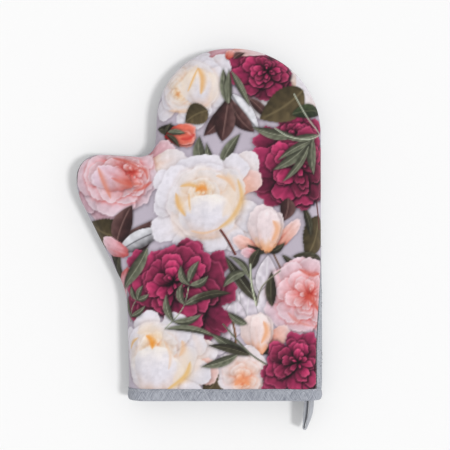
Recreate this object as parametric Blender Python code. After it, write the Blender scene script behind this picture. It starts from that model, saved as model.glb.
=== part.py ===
"""Quilted oven mitt lying on its back panel, fingers towards +Y and thumb towards -X.

Each cloth layer is a dished shell that turns down to the side seam at its edge. A layer is cut in one
piece on the real mitt; here it is a hand part and a thumb part, so that the thumb can fold.
"""

import math

import bmesh
import bpy
from mathutils import Matrix, Vector

MM = 0.001

# Outline seen from above: (x, y, corner radius) in mm, anticlockwise from the cuff's right side.
CUFF_Y = -137.7
CUFF_EXTRA = 27.0
RIGHT_X, LEFT_X = 103.6, -60.7
TIP_Y = 162.5
OUTLINE = [
    (RIGHT_X, CUFF_Y - CUFF_EXTRA, 0),
    (RIGHT_X, TIP_Y, 74),
    (-34.0, TIP_Y, 62),
    (-38.5, 69.0, 14),
    (-105.5, 73.0, 20),
    (-105.5, 39.6, 44),
    (-62.5, -45.6, 60),
    (LEFT_X, -112.0, 0),
    (LEFT_X, CUFF_Y - CUFF_EXTRA, 0),
]
ARC_STEP = math.radians(11)

# Section through the layers, in mm.
THICK = 28.0
SEAM_Z = THICK / 2
EDGE_RADIUS = THICK / 2
GAP = 0.3
CLOTH = 0.8
LINING = 0.7
FRONT_WADDING = 3.6
SEAM_GAP = 1.8
THREAD = 0.5
QUILT_SPACE = THREAD + 2 * GAP
LINING_INNER = CLOTH + GAP + FRONT_WADDING + GAP + LINING
EDGE_STEPS = 4

# The cuff is pressed flatter than the hand, inside its binding.
CUFF_SQUEEZE = 0.8
SQUEEZE_LENGTH = 24.0
SQUEEZE_CUTS = 3
BINDING_WIDTH = 10.3
BINDING_INSIDE = 9.0
BINDING_THICK = 0.8
STITCH_FROM_EDGE = 1.6

# Thumb fold: a line from the crotch towards the cuff, leaning a little.
CROTCH = Vector((-41.9, 70.1, 0))
FOLD_OUT = Vector((-0.995, 0.0995, 0))
FOLD_LINE = Vector((0.0995, 0.995, 0))
FOLD_FROM_CROTCH = 6.8
FOLD_Z = 16.0
FOLD_GAP = 0.6
FOLD_BEVEL = math.radians(26)

# Diamond quilting through the back.
QUILT_PITCH = 36.0
QUILT_INSET = 13.0
QUILT_STAGGER = 0.05

# Hanging loop of folded tape, standing on its edge.
TAPE = 1.0
TAPE_WIDTH = 9.0
LOOP_PIVOT = Vector((92.5, CUFF_Y - 0.6, SEAM_Z))
LOOP_CLEAR = 1.5
LOOP_TIP_Y = -162.5
LOOP_HOLE = 5.6
LOOP_TIP_HOLE = 2.4
LOOP_NECK = 3.0
LOOP_LEAN = -3.0
TAB_WIDTH = 9.0
TAB_SHIFT = -4.5
TAB_THICK = 2.0
TAB_INSIDE = 8.5
TAB_START = 1.2
BARTACK = (6.0, 1.2, 0.6)

COLOURS = {
    "print": (0.78, 0.62, 0.64),
    "chambray": (0.30, 0.31, 0.34),
    "lining": (0.55, 0.55, 0.57),
    "wadding": (0.85, 0.84, 0.80),
    "thread": (0.60, 0.61, 0.64),
    "dark_thread": (0.12, 0.12, 0.14),
}


def clear_scene():
    for old in list(bpy.data.objects):
        bpy.data.objects.remove(old)


def cloth_material(name):
    found = bpy.data.materials.get(name)
    if found:
        return found
    made = bpy.data.materials.new(name)
    made.use_nodes = True
    shader = made.node_tree.nodes["Principled BSDF"]
    shader.inputs["Base Color"].default_value = (*COLOURS[name], 1)
    shader.inputs["Roughness"].default_value = 0.9
    shader.inputs["Metallic"].default_value = 0
    return made


def add_object(name, bm, colour, origin=None):
    """A finished object from a mesh in mm, with its origin at a point in mm."""
    place = Vector(origin) if origin is not None else Vector()
    bmesh.ops.triangulate(bm, faces=bm.faces)
    bmesh.ops.recalc_face_normals(bm, faces=bm.faces)
    bmesh.ops.transform(bm, verts=bm.verts, matrix=Matrix.Scale(MM, 4) @ Matrix.Translation(-place))
    mesh = bpy.data.meshes.new(name)
    bm.to_mesh(mesh)
    bm.free()
    made = bpy.data.objects.new(name, mesh)
    made.location = place * MM
    made.data.materials.append(cloth_material(colour))
    bpy.context.scene.collection.objects.link(made)
    return made


def rounded_outline():
    """The outline's points, with each corner turned into an arc."""
    points = []
    count = len(OUTLINE)
    for i, (x, y, radius) in enumerate(OUTLINE):
        corner = Vector((x, y))
        to_last = (Vector(OUTLINE[i - 1][:2]) - corner).normalized()
        to_next = (Vector(OUTLINE[(i + 1) % count][:2]) - corner).normalized()
        if not radius:
            points.append(corner)
            continue
        half = to_last.angle(to_next) / 2
        start = corner + to_last * radius / math.tan(half)
        centre = corner + (to_last + to_next).normalized() * radius / math.sin(half)
        turn = math.pi - 2 * half
        side = 1 if to_last.cross(to_next) < 0 else -1
        steps = max(2, round(turn / ARC_STEP))
        for step in range(steps + 1):
            spoke = (start - centre).copy()
            spoke.rotate(Matrix.Rotation(side * turn * step / steps, 2))
            points.append(centre + spoke)
    return points


def inset_outline(points, inset):
    """The outline moved inwards by inset, with its corners mitred."""
    moved = []
    for i, point in enumerate(points):
        before = (point - points[i - 1]).normalized()
        after = (points[(i + 1) % len(points)] - point).normalized()
        normal = (Vector((-before.y, before.x)) + Vector((-after.y, after.x))).normalized()
        moved.append(point + normal * inset / normal.dot(Vector((-after.y, after.x))))
    return moved


def add_ring(bm, points, z):
    verts = [bm.verts.new((p.x, p.y, z)) for p in points]
    return [bm.edges.new((verts[i - 1], verts[i])) for i in range(len(verts))]


def edge_rings(bm, outline, depth, side):
    """Rings of one surface of a layer, depth mm under the outside, from the seam up to its flat."""
    radius = EDGE_RADIUS - depth
    low = math.asin(SEAM_GAP / 2 / EDGE_RADIUS)
    rings = []
    for step in range(EDGE_STEPS + 1):
        angle = low + (math.pi / 2 - low) * step / EDGE_STEPS
        inset = EDGE_RADIUS - radius * math.cos(angle)
        ring_z = SEAM_Z + side * radius * math.sin(angle)
        rings.append(add_ring(bm, inset_outline(outline, inset), ring_z))
    return rings


def cut_away(bm, point, normal):
    """Removes what lies beyond a plane and closes the cut."""
    geometry = bm.verts[:] + bm.edges[:] + bm.faces[:]
    bmesh.ops.bisect_plane(bm, geom=geometry, dist=1e-5, plane_co=point, plane_no=normal, clear_outer=True)
    open_edges = [e for e in bm.edges if e.is_boundary]
    if open_edges:
        bmesh.ops.edgeloop_fill(bm, edges=open_edges)


def squeeze_at(y):
    """How much the thickness keeps at a distance from the cuff's edge."""
    along = min(1.0, max(0.0, (y - CUFF_Y) / SQUEEZE_LENGTH))
    return CUFF_SQUEEZE + (1 - CUFF_SQUEEZE) * along * along * (3 - 2 * along)


def squeeze_cuff(bm):
    for step in range(SQUEEZE_CUTS):
        y = CUFF_Y + SQUEEZE_LENGTH * (step + 1) / SQUEEZE_CUTS
        geometry = bm.verts[:] + bm.edges[:] + bm.faces[:]
        bmesh.ops.bisect_plane(bm, geom=geometry, dist=1e-5, plane_co=(0, y, 0), plane_no=(0, 1, 0))
    for vert in bm.verts:
        vert.co.z = SEAM_Z + (vert.co.z - SEAM_Z) * squeeze_at(vert.co.y)


def layer_mesh(outline, outer_depth, inner_depth, side):
    """A dished shell between two depths, open at the cuff."""
    bm = bmesh.new()
    outer = edge_rings(bm, outline, outer_depth, side)
    inner = edge_rings(bm, outline, inner_depth, side)
    for rings in (outer, inner):
        for low, high in zip(rings, rings[1:]):
            bmesh.ops.bridge_loops(bm, edges=low + high)
        bmesh.ops.edgeloop_fill(bm, edges=rings[-1])
    bmesh.ops.bridge_loops(bm, edges=outer[0] + inner[0])
    cut_away(bm, (0, CUFF_Y + BINDING_THICK + GAP, 0), (0, -1, 0))
    squeeze_cuff(bm)
    bmesh.ops.triangulate(bm, faces=bm.faces)
    bmesh.ops.recalc_face_normals(bm, faces=bm.faces)
    return bm


def fold_point(shift):
    return CROTCH + FOLD_OUT * (FOLD_FROM_CROTCH + shift) + Vector((0, 0, FOLD_Z))


def fold_cut(bm, side):
    """Keeps the hand (side 1) or the thumb (side -1), with room above the fold line for the fold to close."""
    out = FOLD_OUT * side
    edge = fold_point(-side * FOLD_GAP / 2)
    cut_away(bm, edge, out)
    cut_away(bm, edge, out * math.cos(FOLD_BEVEL) + Vector((0, 0, math.sin(FOLD_BEVEL))))


def add_layer(name, outline, outer_depth, inner_depth, side, colour):
    hand = layer_mesh(outline, outer_depth, inner_depth, side)
    thumb = hand.copy()
    fold_cut(hand, 1)
    fold_cut(thumb, -1)
    add_object(name, hand, colour)
    add_object(name + "_thumb", thumb, colour, fold_point(0))


def add_layers(outline):
    front_out = CLOTH + GAP
    back_out = CLOTH + QUILT_SPACE
    wadding_in = front_out + FRONT_WADDING
    add_layer("front_panel", outline, 0, CLOTH, 1, "print")
    add_layer("front_wadding", outline, front_out, wadding_in, 1, "wadding")
    add_layer("front_lining", outline, wadding_in + GAP, LINING_INNER, 1, "lining")
    add_layer("back_panel", outline, 0, CLOTH, -1, "chambray")
    add_layer("back_wadding", outline, back_out, wadding_in, -1, "wadding")
    add_layer("back_lining", outline, wadding_in + GAP, LINING_INNER, -1, "lining")


def add_thread(name, points, colour, closed=False, origin=None):
    """A thin square thread along points in mm."""
    place = Vector(origin) if origin is not None else Vector()
    data = bpy.data.curves.new(name, "CURVE")
    data.dimensions = "3D"
    data.bevel_depth = THREAD / 2 * MM
    data.bevel_resolution = 0
    data.use_fill_caps = not closed
    spline = data.splines.new("POLY")
    spline.points.add(len(points) - 1)
    for point, at in zip(spline.points, points):
        point.co = (*((at - place) * MM), 1)
    spline.use_cyclic_u = closed
    made = bpy.data.objects.new(name, data)
    made.location = place * MM
    data.materials.append(cloth_material(colour))
    bpy.context.scene.collection.objects.link(made)


def seam_stretch(points, keep):
    """The longest run of seam points for which keep holds, in order round the outline."""
    count = len(points)
    starts = [i for i in range(count) if keep(points[i]) and not keep(points[i - 1])]
    runs = []
    for start in starts:
        run = []
        i = start
        while keep(points[i % count]) and len(run) < count:
            run.append(points[i % count])
            i += 1
        runs.append(run)
    return runs


def add_side_seams(outline):
    """The seam's thread between front and back, in three stretches so that the thumb's can move."""
    inset = (CLOTH + GAP + CLOTH + GAP + FRONT_WADDING) / 2
    line = [Vector((p.x, p.y, SEAM_Z)) for p in inset_outline(outline, inset)]
    clear = FOLD_GAP / 2 + THREAD

    def outward(point):
        return (point - fold_point(0)).dot(FOLD_OUT)

    def on_hand(point):
        return outward(point) < -clear and point.y > CUFF_Y + BINDING_THICK + THREAD

    runs = seam_stretch(line, on_hand)
    runs.sort(key=len)
    add_thread("side_seam_wrist", extended(runs[0], line), "thread")
    add_thread("side_seam_hand", extended(runs[-1], line), "thread")
    thumb = seam_stretch(line, lambda p: outward(p) > clear)[0]
    add_thread("side_seam_thumb", thumb, "thread", origin=fold_point(0))


def extended(run, line):
    """A hand stretch carried down to the cuff's binding."""
    low = CUFF_Y + BINDING_THICK + GAP + THREAD
    if run[0].x > run[-1].x:
        return [Vector((run[0].x, low, SEAM_Z)), *run]
    return [*run, Vector((run[-1].x, low, SEAM_Z))]


def cuff_loop(offset, y):
    """Points round the cuff's flattened tube, offset mm outside the panels (inside if negative)."""
    squeeze = squeeze_at(y)
    tall = SEAM_Z * squeeze + offset
    wide = EDGE_RADIUS + offset
    points = []
    for centre_x, first in ((RIGHT_X - EDGE_RADIUS, -90), (LEFT_X + EDGE_RADIUS, 90)):
        for step in range(2 * EDGE_STEPS + 1):
            angle = math.radians(first + 90 * step / EDGE_STEPS)
            points.append(Vector((centre_x + wide * math.cos(angle), y, SEAM_Z + tall * math.sin(angle))))
    return points


def add_binding():
    """One strip folded round the raw edges of every layer: a channel with an outer and an inner wall."""
    bm = bmesh.new()
    inside = -(LINING_INNER + GAP)
    top, inner_top = CUFF_Y + BINDING_WIDTH, CUFF_Y + BINDING_INSIDE
    floor = CUFF_Y + BINDING_THICK
    section = [
        (GAP, floor), (GAP, top), (GAP + BINDING_THICK, top), (GAP + BINDING_THICK, CUFF_Y),
        (inside - BINDING_THICK, CUFF_Y), (inside - BINDING_THICK, inner_top), (inside, inner_top), (inside, floor),
    ]
    rings = [[bm.verts.new(p) for p in cuff_loop(offset, y)] for offset, y in section]
    for i, ring in enumerate(rings):
        last = rings[i - 1]
        for k in range(len(ring)):
            bm.faces.new((last[k - 1], last[k], ring[k], ring[k - 1]))
    add_object("cuff_binding", bm, "chambray")
    stitch_y = top - STITCH_FROM_EDGE
    stitch_offset = BINDING_THICK + 2 * GAP + THREAD / 2
    add_thread("binding_stitching", cuff_loop(stitch_offset, stitch_y), "thread", closed=True)


def clip_line(start, direction, polygon):
    """Where a line enters and leaves a polygon, as distances along it."""
    hits = []
    for i, here in enumerate(polygon):
        last = polygon[i - 1]
        edge = here - last
        across = direction.cross(edge)
        if abs(across) < 1e-9:
            continue
        share = (last - start).cross(direction) / across
        if 0 <= share < 1:
            hits.append((last - start).cross(edge) / across)
    return sorted(hits)


def quilt_lines(polygon, lowest):
    """(start, end, lean) of each quilting line inside a polygon."""
    lines = []
    for lean in (1, -1):
        direction = Vector((1, lean)).normalized()
        normal = Vector((-lean, 1)).normalized()
        for number in range(-8, 9):
            start = normal * QUILT_PITCH * number
            hits = clip_line(start, direction, polygon)
            for enter, leave in zip(hits[::2], hits[1::2]):
                if leave - enter > lowest:
                    lines.append((start + direction * enter, start + direction * leave, lean))
    return lines


def crosses(one, other):
    if one[2] == other[2]:
        return False
    along, across = one[1] - one[0], other[1] - other[0]
    det = along.cross(across)
    from_one = (other[0] - one[0]).cross(across) / det
    from_other = (other[0] - one[0]).cross(along) / det
    return 0.02 < from_one < 0.98 and 0.02 < from_other < 0.98


def connected(lines):
    """The largest set of lines that cross one another."""
    best = []
    left = list(lines)
    while left:
        group = [left.pop()]
        for line in group:
            joined = [other for other in left if crosses(line, other)]
            group += joined
            left = [other for other in left if other not in joined]
        best = max(best, group, key=len)
    return best


def thread_bar(line):
    """A square bar along one quilting line. The two families sit at slightly different heights."""
    start, end, lean = line
    middle = (start + end) / 2
    shift = QUILT_STAGGER * lean / 2
    z = CLOTH + QUILT_SPACE / 2 + shift
    bm = bmesh.new()
    length = (end - start).length
    turn = Matrix.Rotation(math.atan2(end.y - start.y, end.x - start.x), 4, "Z")
    place = Matrix.Translation((middle.x, middle.y, z)) @ turn @ Matrix.Diagonal((length, THREAD, THREAD, 1))
    bmesh.ops.create_cube(bm, size=1, matrix=place)
    return bm


def add_quilting(name, polygon, lowest, origin=None):
    """The quilting thread inside a polygon, joined where its lines cross."""
    lines = connected(quilt_lines(polygon, lowest))
    made = add_object(name, thread_bar(lines[0]), "dark_thread", origin)
    for i, line in enumerate(lines[1:]):
        cutter = add_object(f"{name}_line_{i}", thread_bar(line), "dark_thread")
        cutter.hide_render = True
        cutter.display_type = "WIRE"
        union = made.modifiers.new(f"line_{i}", "BOOLEAN")
        union.operation = "UNION"
        union.object = cutter


def clip_polygon(points, point, normal):
    """The part of a polygon on the side that normal points away from."""
    kept = []
    for i, here in enumerate(points):
        last = points[i - 1]
        here_out, last_out = (here - point).dot(normal), (last - point).dot(normal)
        if here_out * last_out < 0:
            kept.append(last.lerp(here, last_out / (last_out - here_out)))
        if here_out <= 0:
            kept.append(here)
    return kept


def add_quilting_parts(outline):
    area = inset_outline(outline, QUILT_INSET)
    area = clip_polygon(area, Vector((0, CUFF_Y + SQUEEZE_LENGTH)), Vector((0, -1)))
    fold, out = fold_point(0).to_2d(), FOLD_OUT.to_2d()
    hand = clip_polygon(area, fold - out * (FOLD_GAP + THREAD), out)
    thumb = clip_polygon(area, fold + out * (FOLD_GAP + THREAD), -out)
    add_quilting("quilting_thread", hand, 12)
    add_quilting("quilting_thread_thumb", thumb, 6, fold_point(0))


def loop_outline(offset):
    """The tape loop's wall seen from above, from its neck round the tip, offset mm outside the hole."""
    root = LOOP_PIVOT.y - LOOP_CLEAR
    belly_y = root - LOOP_NECK - 7.5
    tip_radius = LOOP_TIP_HOLE / 2 + offset
    tip_centre = Vector((LOOP_PIVOT.x + LOOP_LEAN, LOOP_TIP_Y + TAPE + LOOP_TIP_HOLE / 2))
    half_hole = LOOP_HOLE / 2 + offset
    belly = LOOP_PIVOT.x + LOOP_LEAN / 2
    points = [Vector((belly - half_hole, belly_y + 4)), Vector((belly - half_hole, belly_y - 4))]
    for step in range(5):
        angle = math.radians(180 + 45 * step)
        points.append(tip_centre + Vector((math.cos(angle), math.sin(angle))) * tip_radius)
    points += [Vector((belly + half_hole, belly_y - 4)), Vector((belly + half_hole, belly_y + 4))]
    return points


def add_loop():
    """The free part of the hanging loop: a neck of two tape ends, a teardrop hole and a folded tip."""
    root = LOOP_PIVOT.y - LOOP_CLEAR
    x = LOOP_PIVOT.x
    outside = [Vector((x - TAPE, root)), Vector((x - TAPE, root - 1)), *loop_outline(TAPE)]
    outside += [Vector((x + TAPE, root - 1)), Vector((x + TAPE, root))]
    hole = [Vector((x, root - LOOP_NECK)), *loop_outline(0)]
    bm = bmesh.new()
    low, high = SEAM_Z - TAPE_WIDTH / 2, SEAM_Z + TAPE_WIDTH / 2
    rings = [add_ring(bm, shape, z) for shape in (outside, hole) for z in (low, high)]
    outer_low, outer_high, hole_low, hole_high = rings
    bmesh.ops.bridge_loops(bm, edges=outer_low + outer_high)
    bmesh.ops.bridge_loops(bm, edges=hole_low + hole_high)
    for ring in (outer_low + hole_low, outer_high + hole_high):
        bmesh.ops.triangle_fill(bm, edges=ring, use_beauty=True)
    add_object("hanging_loop", bm, "chambray", LOOP_PIVOT)


def add_box(name, low, high, colour):
    bm = bmesh.new()
    low, high = Vector(low), Vector(high)
    size = high - low
    place = Matrix.Translation((low + high) / 2) @ Matrix.Diagonal((*size, 1))
    bmesh.ops.create_cube(bm, size=1, matrix=place)
    add_object(name, bm, colour)


def add_loop_ends():
    """The tape's sewn-in ends, lying flat inside the cuff on the back's binding, and their bar tack."""
    wall = SEAM_Z - SEAM_Z * CUFF_SQUEEZE + LINING_INNER + GAP + BINDING_THICK + GAP
    middle = LOOP_PIVOT.x + TAB_SHIFT
    low_x, high_x = middle - TAB_WIDTH / 2, middle + TAB_WIDTH / 2
    add_box("loop_ends", (low_x, CUFF_Y + TAB_START, wall), (high_x, CUFF_Y + TAB_INSIDE, wall + TAB_THICK), "chambray")
    length, width, height = BARTACK
    y = CUFF_Y + TAB_INSIDE / 2
    z = wall + TAB_THICK + GAP
    add_box("loop_bartack", (middle - length / 2, y, z), (middle + length / 2, y + width, z + height), "thread")


def build():
    clear_scene()
    outline = rounded_outline()
    add_layers(outline)
    add_side_seams(outline)
    add_binding()
    add_quilting_parts(outline)
    add_loop()
    add_loop_ends()


build()
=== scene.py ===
# Oven mitt: printed cotton front, diamond-quilted chambray back, bias-bound cuff and a tape loop.
# Cloth panels are cut flat, given their print and weave there, and then puffed over the wadding.
import math

import bmesh
import bpy
import numpy as np
from mathutils import Matrix, Vector


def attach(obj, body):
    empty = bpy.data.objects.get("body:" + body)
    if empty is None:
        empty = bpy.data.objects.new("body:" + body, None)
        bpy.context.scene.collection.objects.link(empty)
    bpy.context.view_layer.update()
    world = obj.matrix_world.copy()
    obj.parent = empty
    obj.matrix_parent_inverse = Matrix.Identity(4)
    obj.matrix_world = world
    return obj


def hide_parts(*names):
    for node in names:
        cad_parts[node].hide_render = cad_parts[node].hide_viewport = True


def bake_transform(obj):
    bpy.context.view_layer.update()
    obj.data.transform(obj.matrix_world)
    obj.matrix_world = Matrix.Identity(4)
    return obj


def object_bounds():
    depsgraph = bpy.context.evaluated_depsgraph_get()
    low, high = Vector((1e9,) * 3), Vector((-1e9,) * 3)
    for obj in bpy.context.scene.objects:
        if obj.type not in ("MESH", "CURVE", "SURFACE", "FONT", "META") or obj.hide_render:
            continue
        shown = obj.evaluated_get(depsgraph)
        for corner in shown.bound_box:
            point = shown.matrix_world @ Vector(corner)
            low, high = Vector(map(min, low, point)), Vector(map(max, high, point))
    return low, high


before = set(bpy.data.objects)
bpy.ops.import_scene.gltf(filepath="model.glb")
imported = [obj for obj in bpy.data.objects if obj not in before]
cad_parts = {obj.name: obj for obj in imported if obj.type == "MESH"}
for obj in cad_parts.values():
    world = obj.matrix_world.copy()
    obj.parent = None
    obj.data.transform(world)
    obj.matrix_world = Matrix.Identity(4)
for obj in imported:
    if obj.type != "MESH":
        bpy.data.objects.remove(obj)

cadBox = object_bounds()
mm = 0.001

# The mitt's outline and section are in millimetres, as it was cut.
mitt = {
    "cuffY": -137.7,
    "corners": [  # x, y and corner radius, anticlockwise from the cuff's right side
        (103.6, 162.5, 74), (-34.0, 162.5, 62), (-38.5, 69.0, 14), (-105.5, 73.0, 20),
        (-105.5, 39.6, 44), (-62.5, -45.6, 60), (-60.7, -112.0, 0),
    ],
    "rightX": 103.6,
    "leftX": -60.7,
    "half": 14.0,  # half the thickness, and the radius of the rounded edge
    "cuffKeeps": 0.8,  # how much of the thickness the pressed cuff keeps
    "pressedLength": 24.0,  # from the cuff's edge to where the mitt is at its full thickness
    "seamRoll": 47,  # degrees that the seam rolls to the front low on the right
    "fullBack": 1.3,  # how much the back swells out past the seam on the right
}
edgeExtra = mitt["half"] * (math.pi / 2 - 1)  # cloth that goes round the edge, beyond the outline


def soft(low, high, value):
    t = np.clip((value - low) / (high - low), 0, 1)
    return t * t * (3 - 2 * t)


def roundedOutline(turnStep):
    # the sewn line as closely spaced points, from below the cuff's right side round to its left side
    corners = [(mitt["rightX"], -220.0, 0), *mitt["corners"], (mitt["leftX"], -220.0, 0)]
    points = []
    for i, (x, y, radius) in enumerate(corners):
        corner = Vector((x, y))
        if not radius:
            points.append(corner)
            continue
        toLast = (Vector(corners[i - 1][:2]) - corner).normalized()
        toNext = (Vector(corners[i + 1][:2]) - corner).normalized()
        halfAngle = toLast.angle(toNext) / 2
        start = corner + toLast * radius / math.tan(halfAngle)
        centre = corner + (toLast + toNext).normalized() * radius / math.sin(halfAngle)
        turn = math.pi - 2 * halfAngle
        way = 1 if toLast.cross(toNext) < 0 else -1
        steps = max(2, round(turn / turnStep))
        for step in range(steps + 1):
            spoke = start - centre
            spoke.rotate(Matrix.Rotation(way * turn * step / steps, 2))
            points.append(centre + spoke)
    return np.array([p[:] for p in points])


sewnLine = roundedOutline(math.radians(3))


def fromSeam(x, y):
    # distance inside the sewn line, and the direction straight in from it
    best = np.full(x.shape, 1e9)
    nx, ny = np.zeros(x.shape), np.zeros(x.shape)
    for a, b in zip(sewnLine, sewnLine[1:]):
        along = b - a
        length = np.hypot(*along)
        inward = np.array([-along[1], along[0]]) / length
        t = np.clip(((x - a[0]) * along[0] + (y - a[1]) * along[1]) / length ** 2, 0, 1)
        dx, dy = x - a[0] - t * along[0], y - a[1] - t * along[1]
        distance = np.hypot(dx, dy)
        side = np.where(dx * inward[0] + dy * inward[1] >= 0, 1.0, -1.0)
        near = distance < np.abs(best)
        best = np.where(near, side * distance, best)
        safe = np.maximum(distance, 1e-6)
        nx = np.where(near, np.where(distance > 1e-3, side * dx / safe, inward[0]), nx)
        ny = np.where(near, np.where(distance > 1e-3, side * dy / safe, inward[1]), ny)
    return best, nx, ny


def seamTurn(x, y):
    # how far up the rounded edge the seam lies, in radians
    return math.radians(mitt["seamRoll"]) * soft(20, -100, y) * soft(40, 70, x)


def pressed(y):
    keep = mitt["cuffKeeps"]
    return keep + (1 - keep) * soft(mitt["cuffY"], mitt["cuffY"] + mitt["pressedLength"], y)


def valueNoise(x, y, cell, seed):
    # smooth noise from -1 to 1 at any points
    table = np.random.default_rng(seed).uniform(-1, 1, (256, 256))
    u, v = x / cell + 100, y / cell + 100
    iu, iv = np.floor(u).astype(int), np.floor(v).astype(int)
    fu, fv = u - iu, v - iv
    fu, fv = fu * fu * (3 - 2 * fu), fv * fv * (3 - 2 * fv)
    low = table[iv % 256, iu % 256] * (1 - fu) + table[iv % 256, (iu + 1) % 256] * fu
    high = table[(iv + 1) % 256, iu % 256] * (1 - fu) + table[(iv + 1) % 256, (iu + 1) % 256] * fu
    return low * (1 - fv) + high * fv


quilting = {"pitch": 36.0, "depth": 2.0, "reach": 9.0, "sharpness": 1.9}


def quiltDip(x, y):
    # 1 on a quilting line, falling to 0 in the middle of a diamond
    dip = np.zeros(x.shape)
    for lean in (1, -1):
        across = (y - lean * x) / math.sqrt(2)
        away = np.abs((across + quilting["pitch"] / 2) % quilting["pitch"] - quilting["pitch"] / 2)
        dip = np.maximum(dip, np.exp(-(away / quilting["reach"] * quilting["sharpness"]) ** 1.3))
    return dip


# how far the front rises over its plain section, on a coarse grid; the cloth simulation fills it in
rise = {"spacing": 4.5, "left": -118.0, "width": 234.0, "bottom": -134.0, "height": 308.0, "cap": 2.2}
riseShape = (round(rise["height"] / rise["spacing"]), round(rise["width"] / rise["spacing"]))
riseGrid = np.zeros((riseShape[0] + 1, riseShape[1] + 1))


def riseAt(x, y):
    # a smooth surface over the coarse grid
    u = np.clip((x - rise["left"]) / rise["width"], 0, 1) * riseShape[1]
    v = np.clip((y - rise["bottom"]) / rise["height"], 0, 1) * riseShape[0]
    i, j = np.floor(u).astype(int), np.floor(v).astype(int)
    total = np.zeros(x.shape)
    spread = []
    for f in (u - i, v - j):
        inner = ((3 * f ** 3 - 6 * f ** 2 + 4) / 6, (3 * (f + f * f - f ** 3) + 1) / 6)
        spread.append([(1 - f) ** 3 / 6, *inner, f ** 3 / 6])
    for a in range(4):
        for b in range(4):
            row, column = np.clip(j + b - 1, 0, riseShape[0]), np.clip(i + a - 1, 0, riseShape[1])
            total = total + spread[0][a] * spread[1][b] * riseGrid[row, column]
    return total


unevenness = {"broad": (0.7, 46, 5), "fine": (0.25, 17, 6)}  # height, width and seed of the padding's waves
seamGap = 0.05  # radians between each panel's edge and the seam


def onEdge(inside):
    # 0 at the seam to 1 where the cloth has gone round the edge and lies flat
    return np.clip((inside + edgeExtra) / (mitt["half"] * math.pi / 2), 0, 1)


def puff(x, y, depth, side, underRatio=1.0, ripple=0.0):
    # from the flat cut to the place on the mitt, at a depth under its outer face; side is 1 for the front
    half = mitt["half"]
    inside, nx, ny = fromSeam(x, y)
    t = onEdge(inside)
    seam = seamTurn(x, y) + side * seamGap
    angle = seam * side + (math.pi / 2 - seam * side) * t  # up from the middle plane, on the layer's side
    radius = half - depth
    edge = t < 1
    shift = np.where(edge, half - inside - radius * np.cos(angle), 0)
    px, py = x + nx * shift, y + ny * shift
    if side < 0:  # the back shows beside the front, low on the right most of all
        px = px + mitt["fullBack"] * 4 * t * (1 - t) * soft(88, 100, x) * soft(-136, -122, y)
    up = radius * np.sin(angle)
    if ripple:  # the seam's puckers fade out over the rounded edge
        along = x * ny - y * nx
        fade = np.exp(-((inside + edgeExtra) / 9) ** 2) * edge
        up = up + ripple * fade * valueNoise(along, inside, 5.5, 3)
    if side > 0:
        swell = sum(height * valueNoise(x, y, cell, seed) for height, cell, seed in unevenness.values())
        up = up + swell * soft(-132, -100, y) * t + riseAt(x, y)
    else:
        up = up - quilting["depth"] * underRatio * quiltDip(x, y) * soft(0.15, 0.8, t) * soft(-134, -116, y)
    pz = half + side * up * pressed(py)
    wrap = (half - half * (math.pi / 2 - angle)) - inside  # where on the flat cut the moved edge belongs
    return px, py, pz, np.where(edge, x + nx * wrap, x), np.where(edge, y + ny * wrap, y)


patternBox = {"left": -118.0, "right": 116.0, "top": 174.0}


def trimmedGrid(bm, spacing, trim, lowY):
    # a flat grid cut to the pattern's edge, trim millimetres inside it; gives its new vertices
    left, right, top = patternBox.values()
    columns, rows = round((right - left) / spacing), round((top - lowY) / spacing)
    place = Matrix.Translation(((left + right) / 2, (lowY + top) / 2, 0))
    place = place @ Matrix.Diagonal(((right - left) / 2, (top - lowY) / 2, 1, 1))
    made = bmesh.ops.create_grid(bm, x_segments=columns, y_segments=rows, size=1, matrix=place)["verts"]
    x = np.array([v.co.x for v in made])
    y = np.array([v.co.y for v in made])
    inside = fromSeam(x, y)[0] + edgeExtra
    bmesh.ops.delete(bm, geom=[v for v, d in zip(made, inside) if d < trim], context="VERTS")
    made = [v for v in made if v.is_valid]
    loose = [v for v in made if not v.link_faces]
    bmesh.ops.delete(bm, geom=loose, context="VERTS")
    return [v for v in made if v.is_valid]


def flatPanel(spacing, underSpacing, lowY):
    # a closed sheet of no thickness yet: a fine face, a coarser back, and a rim between them
    bm = bmesh.new()
    under = bm.verts.layers.int.new("under")
    face = trimmedGrid(bm, spacing, 0.0, lowY)
    rim = [v for v in face if v.is_boundary]
    x, y = np.array([v.co.x for v in rim]), np.array([v.co.y for v in rim])
    inside, nx, ny = fromSeam(x, y)
    for v, d, ax, ay in zip(rim, inside + edgeExtra, nx, ny):
        if d < 1.6 * spacing:  # the stepped rim moves out to the pattern's edge, the cuff's row along itself
            v.co.x -= ax * d
            if v.co.y > lowY + spacing * 0.5:
                v.co.y -= ay * d
    rimEdges = [e for e in bm.edges if e.is_boundary]
    walls = bmesh.ops.extrude_edge_only(bm, edges=rimEdges)["geom"]
    for v in walls:
        if isinstance(v, bmesh.types.BMVert):
            v[under] = 1
    lowRim = [e for e in walls if isinstance(e, bmesh.types.BMEdge) and all(v[under] for v in e.verts)]
    inner = trimmedGrid(bm, underSpacing, underSpacing * 0.6, lowY + underSpacing * 0.6)
    for v in inner:
        v[under] = 1
    innerEdges = {e for v in inner for e in v.link_edges if e.is_boundary}
    bmesh.ops.triangle_fill(bm, use_beauty=True, use_dissolve=False, edges=lowRim + list(innerEdges))
    return bm, under


def finishMesh(name, bm, material, sharp=50):
    bmesh.ops.recalc_face_normals(bm, faces=bm.faces)
    mesh = bpy.data.meshes.new(name)
    bm.to_mesh(mesh)
    bm.free()
    mesh.shade_smooth()
    mesh.set_sharp_from_angle(angle=math.radians(sharp))
    made = bpy.data.objects.new(name, mesh)
    bpy.context.scene.collection.objects.link(made)
    mesh.materials.append(material)
    return made


rawEdgeY = -136.5  # the layers end here, inside the binding


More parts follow.
